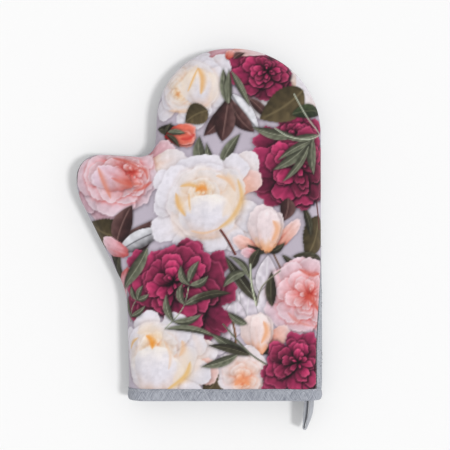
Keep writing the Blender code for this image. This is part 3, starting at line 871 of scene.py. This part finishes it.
def paintLower():
    flower(86, -49, 33, (96, -46), pinkPeony, 1.08, 0.6)
    glows(
        ([(84, -26), (94, -31), (104, -30)], 2.8, coral, 0.7),
        ([(88, -46), (95, -53), (105, -64)], 3.4, coral, 0.8),
        ([(74, -62), (82, -70), (94, -74)], 2.2, (222, 130, 118), 0.6),
    )
    petal(56, -88, 0.5, 24, 16, blushPetal, peachRose)
    bud(49, -79, 18, 1.75, ((239, 218, 216), (242, 182, 142)), peachRose)
    glow([(54, -70), (56, -78), (52, -88)], 3.4, (244, 170, 120), 0.8)
    flower(38, -112, 24, (36, -124), peachRose, 0.95, 0.2)
    glow([(30, -124), (36, -120), (42, -124)], 5.0, (246, 158, 110), 0.8)
    flower(80, -106, 34, (84, -104), burgundyPeony, 0.95, 0.1)
    petal(-10, -90, -0.4, 26, 26, creamPetal, peachRose)
    petal(-10, -112, 0.0, 26, 26, blushPetal, peachRose)
    petal(-14, -122, 0.4, 24, 18, creamPetal, creamRose)
    outerPetals(
        creamRose, (-40, -84, 1.9, 24, 26), (-28, -86, 1.1, 26, 24), (-20, -96, 0.45, 28, 24),
        (-18, -110, -0.15, 28, 26), (-22, -122, -0.5, 26, 20), (-52, -92, 2.6, 20, 24),
    )
    flower(-34, -99, 32, (-41, -87), creamRose, 1.1, 0.5)
    cup(-37, -131, 40, 40)
    glows(
        ([(-16, -92), (-12, -106), (-22, -120)], 11.0, (249, 226, 200), 0.6),
        ([(-52, -80), (-42, -78), (-32, -84)], 8.0, (250, 222, 188), 0.5),
        ([(-6, -80), (0, -96), (-4, -112)], 6.0, (246, 222, 208), 0.4),
        ([(-8, -104), (-13, -116), (-28, -128)], 3.2, (238, 190, 112), 0.8),
        ([(-15, -86), (-14, -92), (-17, -99)], 3.2, apricot, 0.8),
        ([(-60, -94), (-57, -88), (-52, -84)], 1.6, gold, 0.75),
        ([(-45, -82), (-41, -86), (-40, -93)], 3.6, (246, 160, 60), 0.85),
        ([(-30, -86), (-25, -98), (-26, -110)], 2.0, apricot, 0.5),
    )


def paintSprays():
    # sprays lying over the flowers
    sprig(greyGreen, -29, -76, -8, -34, 3, 24, 6.5, (150, 158, 134), -0.12)
    leaf(greyGreen, -28, -76, 16, -84, 5.5, 0.7)
    leaf(darkGreen, -4, -52, 26, -46, 7, 0.3)
    sprig(greyGreen, -60, -70, -52, -50, 2, 16, 5, (140, 148, 124), 0.1)
    leaf({**darkGreen, "rib": greyGreen["rib"]}, 49, -53, 22, -15, 10, 0.1)
    leaves(darkGreen, (43, -26, 51, -8, 8, 0.1), (61, -57, 61, -28, 9, 0.1))
    leaves(greyGreen, (40, -28, 20, -41, 8, -0.4), (42, -34, 25, -15, 5.5, -0.7))
    stem([(48, -56), (44, -38), (43, -22)], 1.8, (170, 176, 152))
    stem([(48, -56), (53, -40), (68, -27)], 1.1, (132, 128, 112))
    leaves(greyGreen, (40, -72, 24, -62, 7, 0.2), (42, -98, 10, -80, 9, 0.15))
    leaf(darkGreen, 42, -98, 8, -90, 7, -0.2)
    leaf(greyGreen, 32, -98, 2, -108, 8, 0.2)
    stem([(56, -106), (44, -98), (34, -88), (20, -72)], 1.4, (92, 96, 78))


def paintPrint():
    paintGround()
    paintTop()
    paintRightPeonies()
    paintThumb()
    paintLeftLeaves()
    paintMiddle()
    paintLower()
    paintSprays()
    painting[:] *= printCloth["depth"]


def newMaterial(name, roughness, sheen=0.0, sheenTint=(1, 1, 1)):
    material = bpy.data.materials.new(name)
    material.use_nodes = True
    tree = material.node_tree
    shader = tree.nodes["Principled BSDF"]
    shader.inputs["Roughness"].default_value = roughness
    shader.inputs["Specular IOR Level"].default_value = 0.25
    shader.inputs["Sheen Weight"].default_value = sheen
    shader.inputs["Sheen Roughness"].default_value = 0.5
    shader.inputs["Sheen Tint"].default_value = (*sheenTint, 1)
    return material, tree, shader


def node(tree, kind, settings=None, **inputs):
    # inputs are values, or output sockets to join
    made = tree.nodes.new(kind)
    for key, value in (settings or {}).items():
        setattr(made, key, value)
    for key, value in inputs.items():
        socket = made.inputs[int(key[1:])] if key[0] == "i" and key[1:].isdigit() else made.inputs[key]
        if isinstance(value, bpy.types.NodeSocket):
            tree.links.new(value, socket)
        else:
            socket.default_value = value
    return made


def maths(tree, operation, a, b=0.0):
    return node(tree, "ShaderNodeMath", {"operation": operation}, i0=a, i1=b).outputs[0]


def addShare(tree, start, value, share):
    # start plus a share of value
    return maths(tree, "ADD", start, maths(tree, "MULTIPLY", value, share))


def noise(tree, place, **settings):
    return node(tree, "ShaderNodeTexNoise", None, Vector=place, **settings).outputs[0]


def mixed(tree, share, a, b, blend="MIX"):
    # the mix node's colour sockets, A and B, are its seventh and eighth, and its colour output the third
    settings = {"data_type": "RGBA", "blend_type": blend}
    return node(tree, "ShaderNodeMix", settings, i0=share, i6=a, i7=b).outputs[2]


def linear(colour):
    # a colour from 0 to 255 for a shader's socket
    return (*toLinear(srgb(colour)), 1.0)


def cutCoordinates(tree, turn=0.0):
    place = node(tree, "ShaderNodeUVMap", {"uv_map": "cut"}).outputs[0]
    if turn:
        place = node(tree, "ShaderNodeMapping", None, Vector=place, Rotation=(0, 0, turn)).outputs[0]
    return place


def weave(tree, place, pitch):
    # over-and-under of warp and weft: which thread is on top, and the height of the cloth there
    parts = node(tree, "ShaderNodeSeparateXYZ", None, Vector=place)
    sines = [maths(tree, "SINE", maths(tree, "MULTIPLY", parts.outputs[i], math.pi / pitch)) for i in (0, 1)]
    over = maths(tree, "MULTIPLY", sines[0], sines[1])
    height = maths(tree, "ABSOLUTE", over)
    return over, height


def streaks(tree, place, fine, long):
    # noise drawn out along the threads, one way and the other
    found = []
    for scale in ((1 / fine, 1 / long, 1), (1 / long, 1 / fine, 1)):
        drawn = node(tree, "ShaderNodeMapping", None, Vector=place, Scale=scale).outputs[0]
        found.append(noise(tree, drawn, Scale=1.0, Detail=2.0))
    return found


def roughen(tree, shader, height, strength, distance):
    bump = node(tree, "ShaderNodeBump", None, Strength=strength, Distance=distance, Height=height)
    tree.links.new(bump.outputs[0], shader.inputs["Normal"])


printFinish = {"pitch": 0.00034, "bump": 0.35, "depth": 0.0001, "roughness": 0.78, "threadShade": 0.05}


def printedCotton():
    material, tree, shader = newMaterial("printedCotton", printFinish["roughness"], 0.06)
    place = cutCoordinates(tree)
    over, height = weave(tree, place, printFinish["pitch"])
    warp, weft = streaks(tree, place, 0.0005, 0.006)
    ink = node(tree, "ShaderNodeAttribute", {"attribute_name": "print"}).outputs["Color"]
    thread = maths(tree, "MULTIPLY", maths(tree, "SUBTRACT", maths(tree, "ADD", warp, weft), 1.0), 1.4)
    light = addShare(tree, 1.0, thread, printFinish["threadShade"])
    light = addShare(tree, light, over, 0.02)
    shade = node(tree, "ShaderNodeCombineXYZ", None, X=light, Y=light, Z=light).outputs[0]
    tree.links.new(mixed(tree, 1.0, ink, shade, "MULTIPLY"), shader.inputs["Base Color"])
    ground = addShare(tree, height, thread, 0.6)
    roughen(tree, shader, ground, printFinish["bump"], printFinish["depth"])
    return material


def wovenCloth(name, warpColour, weftColour, pitch, turn, bump, slub, sheen=0.1):
    # two thread colours crossing, with slubs
    material, tree, shader = newMaterial(name, 0.85, sheen)
    place = cutCoordinates(tree, turn)
    over, height = weave(tree, place, pitch)
    warp, weft = streaks(tree, place, pitch * 1.6, pitch * 22)
    mottle = noise(tree, place, Scale=1 / 0.0022, Detail=3.0)
    share = addShare(tree, 0.5, over, 0.30)
    share = addShare(tree, share, maths(tree, "SUBTRACT", warp, weft), slub * 2.2)
    share = addShare(tree, share, maths(tree, "SUBTRACT", mottle, 0.5), slub)
    share = node(tree, "ShaderNodeClamp", None, Value=share).outputs[0]
    colour = mixed(tree, share, linear(warpColour), linear(weftColour))
    tree.links.new(colour, shader.inputs["Base Color"])
    ground = maths(tree, "ADD", height, maths(tree, "ADD", warp, weft))
    roughen(tree, shader, ground, bump, pitch * 0.35)
    return material


def twistedThread(name, colour, sheen=0.2):
    material, tree, shader = newMaterial(name, 0.55, sheen)
    place = node(tree, "ShaderNodeTexCoord").outputs["Object"]
    twist = {"bands_direction": "DIAGONAL"}
    wave = node(tree, "ShaderNodeTexWave", twist, Vector=place, Scale=900.0, Distortion=1.0).outputs["Fac"]
    # the darker bands are painted shade in the grooves of the twist, on the same bands that make its bump
    light, dark = linear(colour), linear([c * 0.72 for c in colour])
    tree.links.new(mixed(tree, wave, dark, light), shader.inputs["Base Color"])
    roughen(tree, shader, wave, 0.4, 0.00008)
    return material


def fluff(name, colour):
    material, tree, shader = newMaterial(name, 0.95, 0.3)
    place = node(tree, "ShaderNodeTexCoord").outputs["Object"]
    fibres = noise(tree, place, Scale=900.0, Detail=5.0, Distortion=2.0)
    light, dark = linear(colour), linear([c * 0.86 for c in colour])
    tree.links.new(mixed(tree, fibres, dark, light), shader.inputs["Base Color"])
    roughen(tree, shader, fibres, 0.8, 0.0006)
    return material


printCotton = printedCotton()
chambray = wovenCloth("chambray", (112, 117, 128), (196, 198, 204), 0.00036, 0.0, 0.5, 0.55)
biasChambray = wovenCloth("biasChambray", (104, 108, 120), (192, 195, 204), 0.00036, math.pi / 4, 0.55, 0.6)
liningCotton = wovenCloth("liningCotton", (206, 204, 200), (226, 224, 221), 0.0004, 0.0, 0.4, 0.5)
tapeTwill = wovenCloth("tapeTwill", (148, 151, 158), (190, 192, 198), 0.0004, math.pi / 4, 0.6, 0.4)
wool = fluff("wadding", (236, 234, 228))
paleThread = twistedThread("paleThread", (206, 208, 214))
darkThread = twistedThread("darkThread", (72, 74, 84))

print("materials made")


def overThumb(piece, slot, *nodes):
    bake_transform(piece)
    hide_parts(*nodes)


frontPanel = {"spacing": 0.86, "underSpacing": 4.0, "thickness": 0.7, "pucker": 0.35}
paintPrint()
print("print painted")
blowFront()
front, cutX, cutY = layer(
    "frontPanel", printCotton, 1, (0.0, frontPanel["thickness"]), frontPanel["spacing"],
    frontPanel["underSpacing"], frontPanel["pucker"],
)


def inkAt(x, y):
    # the painting's colour at points of the flat cut, blended between samples
    step = printCloth["step"]
    u = np.clip((x - printCloth["left"]) / step, 0, printShape[1] - 1.001)
    v = np.clip((y - printCloth["bottom"]) / step, 0, printShape[0] - 1.001)
    c, r = u.astype(int), v.astype(int)
    fu, fv = (u - c)[:, None], (v - r)[:, None]
    low = painting[r, c] * (1 - fu) + painting[r, c + 1] * fu
    high = painting[r + 1, c] * (1 - fu) + painting[r + 1, c + 1] * fu
    return toLinear(np.clip(low * (1 - fv) + high * fv, 0, 1))


ink = np.ones((len(cutX), 4), np.float32)
ink[:, :3] = inkAt(cutX, cutY)
front.data.color_attributes.new("print", "FLOAT_COLOR", "POINT").data.foreach_set("color", ink.ravel())
overThumb(front, "printed_cotton", "front_panel", "front_panel_thumb")
print("front panel", len(front.data.polygons), "faces")

backPanel = {"spacing": 1.3, "underSpacing": 4.0, "thickness": 0.7, "pucker": 0.35}
back = layer(
    "backPanel", chambray, -1, (0.0, backPanel["thickness"]), backPanel["spacing"],
    backPanel["underSpacing"], backPanel["pucker"],
)[0]
overThumb(back, "chambray", "back_panel", "back_panel_thumb")


def innerLayer(name, material, side, kind):
    dips = kind["backDips"] if side < 0 else (1.0, 1.0)
    return layer(name, material, side, kind["depths"], kind["spacing"], kind["spacing"], dips=dips)[0]


waddings = {"spacing": 3.0, "depths": (1.0, 4.6), "backDips": (1.0, 0.3)}
frontWadding = innerLayer("frontWadding", wool, 1, waddings)
overThumb(frontWadding, "wadding", "front_wadding", "front_wadding_thumb")
backWadding = innerLayer("backWadding", wool, -1, waddings)
overThumb(backWadding, "wadding", "back_wadding", "back_wadding_thumb")

linings = {"spacing": 2.2, "depths": (4.9, 5.5), "backDips": (0.2, 0.2)}
frontLining = innerLayer("frontLining", liningCotton, 1, linings)
overThumb(frontLining, "lining", "front_lining", "front_lining_thumb")
backLining = innerLayer("backLining", liningCotton, -1, linings)
overThumb(backLining, "lining", "back_lining", "back_lining_thumb")
print("back, waddings and linings made")


def stitches(name, places, size, material):
    # places hold a middle point, the way the stitch runs and the way the cloth faces, in millimetres
    one = bmesh.new()
    bmesh.ops.create_uvsphere(one, u_segments=6, v_segments=5, radius=1)
    halves = [size[way] * mm / 2 for way in ("length", "width", "height")]
    bmesh.ops.scale(one, verts=one.verts, vec=halves)
    stitch = bpy.data.meshes.new(name + "One")
    one.to_mesh(stitch)
    one.free()
    bm = bmesh.new()
    for at, along, facing in places:
        along, facing = Vector(along).normalized(), Vector(facing).normalized()
        across = facing.cross(along).normalized()
        facing = along.cross(across)
        turn = Matrix.Translation(Vector(at) * mm) @ Matrix((along, across, facing)).transposed().to_4x4()
        stitch.transform(turn)
        bm.from_mesh(stitch)
        stitch.transform(turn.inverted())
    return finishMesh(name, bm, material, 180)


quiltStitch = {
    "pitch": 3.4, "length": 2.7, "width": 0.5, "height": 0.45, "fromEdge": 1.2, "lowY": -126.5,
    "lines": 9, "reach": 190,  # lines to each side of the middle one, and half of each line's full length
}


def quiltPlaces():
    # along every quilting line, leaning one way and then the other; d is a short step to feel the slope with
    found = []
    s = np.arange(-quiltStitch["reach"], quiltStitch["reach"], quiltStitch["pitch"])
    d = 0.5 / math.sqrt(2)
    for lean in (1, -1):
        for line in range(-quiltStitch["lines"], quiltStitch["lines"] + 1):
            x, y = s / math.sqrt(2), s / math.sqrt(2) * lean + line * quilting["pitch"] * math.sqrt(2)
            inside = fromSeam(x, y)[0] + edgeExtra
            keep = (inside > quiltStitch["fromEdge"]) & (y > quiltStitch["lowY"])
            x, y = x[keep], y[keep]
            if not len(x):
                continue
            steps = ((0, 0), (d, lean * d), (-lean * d, d))
            middle, ahead, beside = (np.stack(puff(x + dx, y + dy, -0.05, -1)[:3], 1) for dx, dy in steps)
            for m, a, b in zip(middle, ahead, beside):
                found.append((m, a - m, np.cross(a - m, b - m)))
    return found


quiltThread = stitches("quiltStitches", quiltPlaces(), quiltStitch, darkThread)
overThumb(quiltThread, "dark_thread", "quilting_thread", "quilting_thread_thumb")

sideStitch = {"pitch": 2.6, "length": 1.5, "width": 0.4, "height": 0.4, "fromCuff": 12}


def sidePlaces():
    found = []
    travelled = 0.0
    half = mitt["half"]
    for a, b in zip(sewnLine, sewnLine[1:]):
        length = np.hypot(*(b - a))
        along = (b - a) / length
        outward = np.array([along[1], -along[0]])
        while travelled < length:
            x, y = a + along * travelled
            if y > mitt["cuffY"] + sideStitch["fromCuff"]:
                roll = float(seamTurn(np.array(x), np.array(y)))
                radial = Vector((*(outward * math.cos(roll)), math.sin(roll)))
                centre = Vector((*(np.array((x, y)) - outward * half), half))
                at = centre + radial * (half - 0.25)
                at.z = half + (at.z - half) * float(pressed(np.array(y)))
                found.append((at, radial.cross(Vector((*along, 0))), radial))
            travelled += sideStitch["pitch"]
        travelled -= length
    return found


sideThread = stitches("sideStitches", sidePlaces(), sideStitch, darkThread)
overThumb(sideThread, "thread", "side_seam_hand", "side_seam_wrist", "side_seam_thumb")
print("quilting and side stitches made")


def wrapGrid(name, stations, ringPoints, place, material, uvSize, sharp=60):
    # a flat grid wrapped into a tube: u runs along it and v round it, both from 0 to 1
    bm = bmesh.new()
    bmesh.ops.create_grid(bm, x_segments=stations, y_segments=ringPoints, size=0.5)
    bmesh.ops.translate(bm, verts=bm.verts, vec=(0.5, 0.5, 0))
    sheet = bm.loops.layers.uv.new("cut")
    for face in bm.faces:
        for corner in face.loops:
            corner[sheet].uv = (corner.vert.co.x * uvSize[0], corner.vert.co.y * uvSize[1])
    u, v = np.array([p.co.x for p in bm.verts]), np.array([p.co.y for p in bm.verts])
    for vert, at in zip(bm.verts, np.stack(place(u, v), 1)):
        vert.co = at * mm
    bmesh.ops.remove_doubles(bm, verts=bm.verts, dist=0.00001)
    open_ = [e for e in bm.edges if e.is_boundary]
    if open_:
        bmesh.ops.holes_fill(bm, edges=open_, sides=0)
    return finishMesh(name, bm, material, sharp)


binding = {
    "width": 10.4, "insideWidth": 9.0, "cloth": 0.8, "bow": 0.35,
    "stitchAt": 8.6, "pinch": 0.4, "stitchPitch": 2.9,
    "out": -0.75, "in": 6.6,  # how far its faces lie under the mitt's outer face
    "bend": 2.2,  # how high above the cuff's edge the fold's rounding ends
}
cuffFlat, cuffArc = mitt["rightX"] - mitt["leftX"] - 2 * mitt["half"], math.pi * mitt["half"]
bindingLength = 2 * (cuffFlat + cuffArc)


def cuffRing(u, depth, height):
    # once round the cuff: over the front from right to left, round the left edge, and back under
    half = mitt["half"]
    s = (u % 1.0) * bindingLength
    pieces = [s < cuffFlat, s < cuffFlat + cuffArc, s < 2 * cuffFlat + cuffArc]
    quarter = math.pi / 2
    angles = [quarter, quarter + (s - cuffFlat) / half, 3 * quarter]
    angle = np.select(pieces, angles, 3 * quarter + (s - 2 * cuffFlat - cuffArc) / half)
    run = np.select(pieces, [s, cuffFlat, 2 * cuffFlat + cuffArc - s], 0)
    x = mitt["rightX"] - half - run + (half - depth) * np.cos(angle)
    z = half + (half - depth) * np.sin(angle) * pressed(mitt["cuffY"] + height)
    return x, z


def bindingPlace(u, v):
    # v goes up the outer leg's outside, over its top, down its inside, and so on round the folded strip
    w, t, inner, bend = (binding[key] for key in ("width", "cloth", "insideWidth", "bend"))
    near, far, stitchAt, bow = (binding[key] for key in ("out", "in", "stitchAt", "bow"))
    path = [  # depth under the outer face, and height above the cuff's edge
        (near + t, w - 0.2), (near + 0.25 * t, w), (near, w - 0.45), (near, stitchAt + 0.7),
        (near, stitchAt), (near, stitchAt - 0.7), (near - bow * 0.6, w * 0.6), (near - bow, w * 0.4),
        (near, bend), (near + 0.3, bend * 0.45), (near + 1.0, 0.12), (near + 2.4, 0), (far - 2.4, 0),
        (far - 1.0, 0.12), (far - 0.3, bend * 0.45), (far, bend), (far, inner * 0.5), (far, inner - 0.3),
        (far - 0.4, inner), (far - t, inner - 0.2), (far - t, bend + 0.4), (far - t - 1.2, t + 0.1),
        (near + t + 1.2, t + 0.1), (near + t, bend + 0.4), (near + t, w * 0.6), (near + t, w - 0.2),
    ]
    steps = np.arange(len(path)) / (len(path) - 1)
    depth = np.interp(v, steps, [p[0] for p in path])
    height = np.interp(v, steps, [p[1] for p in path])
    s = u * bindingLength
    # the topstitch pinches the strip, a little more at each needle hole
    outside = np.exp(-((depth - near) / 0.5) ** 2)
    pinch = np.exp(-((height - stitchAt) / 0.9) ** 2) * outside
    hole = 0.5 + 0.5 * np.cos(s / binding["stitchPitch"] * 2 * math.pi)
    drag = valueNoise(s + height * 1.1, height * 0.35, 4.2, 21)
    drag = drag * soft(0, 4, height) * soft(w, w * 0.55, height)
    depth = depth + pinch * binding["pinch"] * (0.55 + 0.45 * hole) - drag * outside * 0.28
    # the strip's end is folded in at a slant and laid over its start
    fold = (s - 3.0) * 0.8 + 1.0 - height
    depth = depth - 0.35 * soft(0.25, -0.25, fold) * outside
    depth = depth + 0.25 * np.exp(-((fold - 0.5) / 0.5) ** 2) * outside
    level = np.zeros(s.shape)
    wander = 0.16 * valueNoise(s, level, 24, 22) + 0.08 * valueNoise(s, level, 7, 23)
    y = mitt["cuffY"] + height + wander * soft(w * 0.5, w, height)
    y = y + 0.16 * valueNoise(s, level, 15, 24) * soft(4, 0, height)
    x, z = cuffRing(u, depth, height)
    return x, y, z


cuffBinding = wrapGrid("cuffBinding", 420, 50, bindingPlace, biasChambray, (bindingLength * mm, 26 * mm), 70)
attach(cuffBinding, "mitt")
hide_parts("cuff_binding")

bindingStitch = {"length": 2.0, "width": 0.5, "height": 0.4}


def bindingStitchPlaces():
    count = int(bindingLength / binding["stitchPitch"])
    u = (np.arange(count) + 0.5) / count
    sewn, sewnAt = np.full(count, binding["out"] + binding["pinch"] * 0.75), binding["stitchAt"]
    y = mitt["cuffY"] + sewnAt
    steps = ((u, sewn), (u + 0.0005, sewn), (u, sewn - 1))
    here, ahead, outward = (np.array(cuffRing(at, depth, sewnAt)).T for at, depth in steps)
    return [
        (Vector((x, y, z)), Vector((ax - x, 0, az - z)), Vector((ox - x, 0, oz - z)))
        for (x, z), (ax, az), (ox, oz) in zip(here, ahead, outward)
    ]


bindingThread = stitches("bindingStitches", bindingStitchPlaces(), bindingStitch, paleThread)
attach(bindingThread, "mitt")
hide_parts("binding_stitching")
print("cuff bound")

loop = {
    "width": 9.0, "thick": 1.0, "rounding": 0.3, "z": 14.0, "tipY": -162,
    "lean": 26, "twist": -0.24,  # degrees all along, and radians more at the tip
}
loopRoute = [  # x and y of the tape's middle, from one sewn end to the other
    (91.0, -128.5), (91.4, -133.0), (91.4, -139.0), (91.1, -146.0), (90.4, -152.8), (89.5, -158.8),
    (89.0, -162.2), (89.5, -163.8), (90.8, -162.9), (92.2, -159.4), (93.9, -153.8), (95.2, -147.6),
    (95.7, -142.0), (95.6, -137.0), (94.6, -132.5), (92.6, -129.0), (92.3, -128.5),
]


def smoothRoute(points, t):
    # a curve through the points, for t from 0 to 1, and its direction
    p = np.array(points, float)
    p = np.vstack([2 * p[0] - p[1], p, 2 * p[-1] - p[-2]])
    s = np.clip(t, 0, 1) * (len(points) - 1)
    i = np.minimum(s.astype(int), len(points) - 2)
    f = (s - i)[:, None]
    a, b, c, d = p[i], p[i + 1], p[i + 2], p[i + 3]
    square, cube = 2 * a - 5 * b + 4 * c - d, 3 * b - a - 3 * c + d
    at = 0.5 * (2 * b + (c - a) * f + square * f ** 2 + cube * f ** 3)
    way = 0.5 * ((c - a) + 2 * square * f + 3 * cube * f ** 2)
    return at, way / np.linalg.norm(way, axis=1)[:, None]


def loopPlace(u, v):
    at, way = smoothRoute(loopRoute, u)
    w, t, r = loop["width"] / 2, loop["thick"] / 2, loop["rounding"]
    section = [
        (t, -w + r), (t, -w * 0.5), (t, 0), (t, w * 0.5), (t, w - r), (t - r, w), (-t + r, w), (-t, w - r),
        (-t, w * 0.5), (-t, 0), (-t, -w * 0.5), (-t, -w + r), (-t + r, -w), (t - r, -w), (t, -w + r),
    ]
    steps = np.arange(len(section)) / (len(section) - 1)
    side = np.interp(v, steps, [p[0] for p in section])
    up = np.interp(v, steps, [p[1] for p in section])
    out = np.stack([-way[:, 1], way[:, 0]], 1)
    lean = math.radians(loop["lean"]) * soft(0.02, 0.12, u) * soft(0.98, 0.88, u)
    twist = loop["twist"] * np.exp(-((at[:, 1] - loop["tipY"]) / 6.0) ** 2)
    tip = soft(-145, loop["tipY"], at[:, 1])
    width = up * (1 - 0.12 * tip)
    x = at[:, 0] + out[:, 0] * side - width * np.sin(lean + twist)
    y = at[:, 1] + out[:, 1] * side + width * 0.25 * tip
    z = loop["z"] + width * np.cos(lean + twist) - 1.5 * tip
    return x, y, z


loopTape = wrapGrid("hangingLoop", 110, 28, loopPlace, tapeTwill, (0.088, 0.020), 50)
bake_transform(loopTape)
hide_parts("hanging_loop", "loop_ends")

bartack = {
    "rows": 9, "length": 4.4, "width": 0.45, "height": 0.4, "x": 91.6, "y": -131.0, "z": 18.5, "step": 0.35,
    "slant": 0.25,
}
tackPlaces = []
for k in range(bartack["rows"]):
    at = (bartack["x"], bartack["y"] + k * bartack["step"], bartack["z"])
    tackPlaces.append((at, (1, bartack["slant"] * (-1) ** k, 0), (0, 0, 1)))
tack = stitches("loopBartack", tackPlaces, bartack, paleThread)
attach(tack, "mitt")
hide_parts("loop_bartack")
print("loop made")

studio = {
    "floorSize": 6.0,
    "floor": 0.9,  # how pale the floor is
    "world": 0.72,
    "key": {"strength": 1.29, "softness": 12, "height": 60, "turn": -12},
}


def sunLight(name, strength, softness, height, turn):
    # softness, height above the floor and turn from +X, in degrees
    data = bpy.data.lights.new(name, "SUN")
    data.energy, data.angle = strength, math.radians(softness)
    made = bpy.data.objects.new(name, data)
    bpy.context.scene.collection.objects.link(made)
    lift, turn = math.radians(height), math.radians(turn)
    source = Vector((math.cos(lift) * math.cos(turn), math.cos(lift) * math.sin(turn), math.sin(lift)))
    made.rotation_euler = source.to_track_quat("Z", "Y").to_euler()
    return made


floorMesh = bmesh.new()
bmesh.ops.create_grid(floorMesh, x_segments=2, y_segments=2, size=studio["floorSize"] / 2)
floorFinish, _, floorShader = newMaterial("paleFloor", 0.9)
floorShader.inputs["Base Color"].default_value = (*[studio["floor"]] * 3, 1)
floor = finishMesh("floor", floorMesh, floorFinish)

low, high = cadBox
middle = (low + high) / 2
sunLight("keyLight", **studio["key"])
world = bpy.data.worlds.new("studio")
world.use_nodes = True
world.node_tree.nodes["Background"].inputs["Color"].default_value = (1, 1, 1, 1)
world.node_tree.nodes["Background"].inputs["Strength"].default_value = studio["world"]
bpy.context.scene.world = world
bpy.context.scene.view_settings.view_transform = "Standard"

cameraSet = {"aside": 0.0215, "ahead": 0.0115, "above": 0.911, "lens": 85}
camera = bpy.data.objects.new("camera", bpy.data.cameras.new("camera"))
camera.data.lens = cameraSet["lens"]
camera.location = middle + Vector([cameraSet[way] for way in ("aside", "ahead", "above")])
bpy.context.scene.collection.objects.link(camera)
bpy.context.scene.camera = camera
print("scene lit")
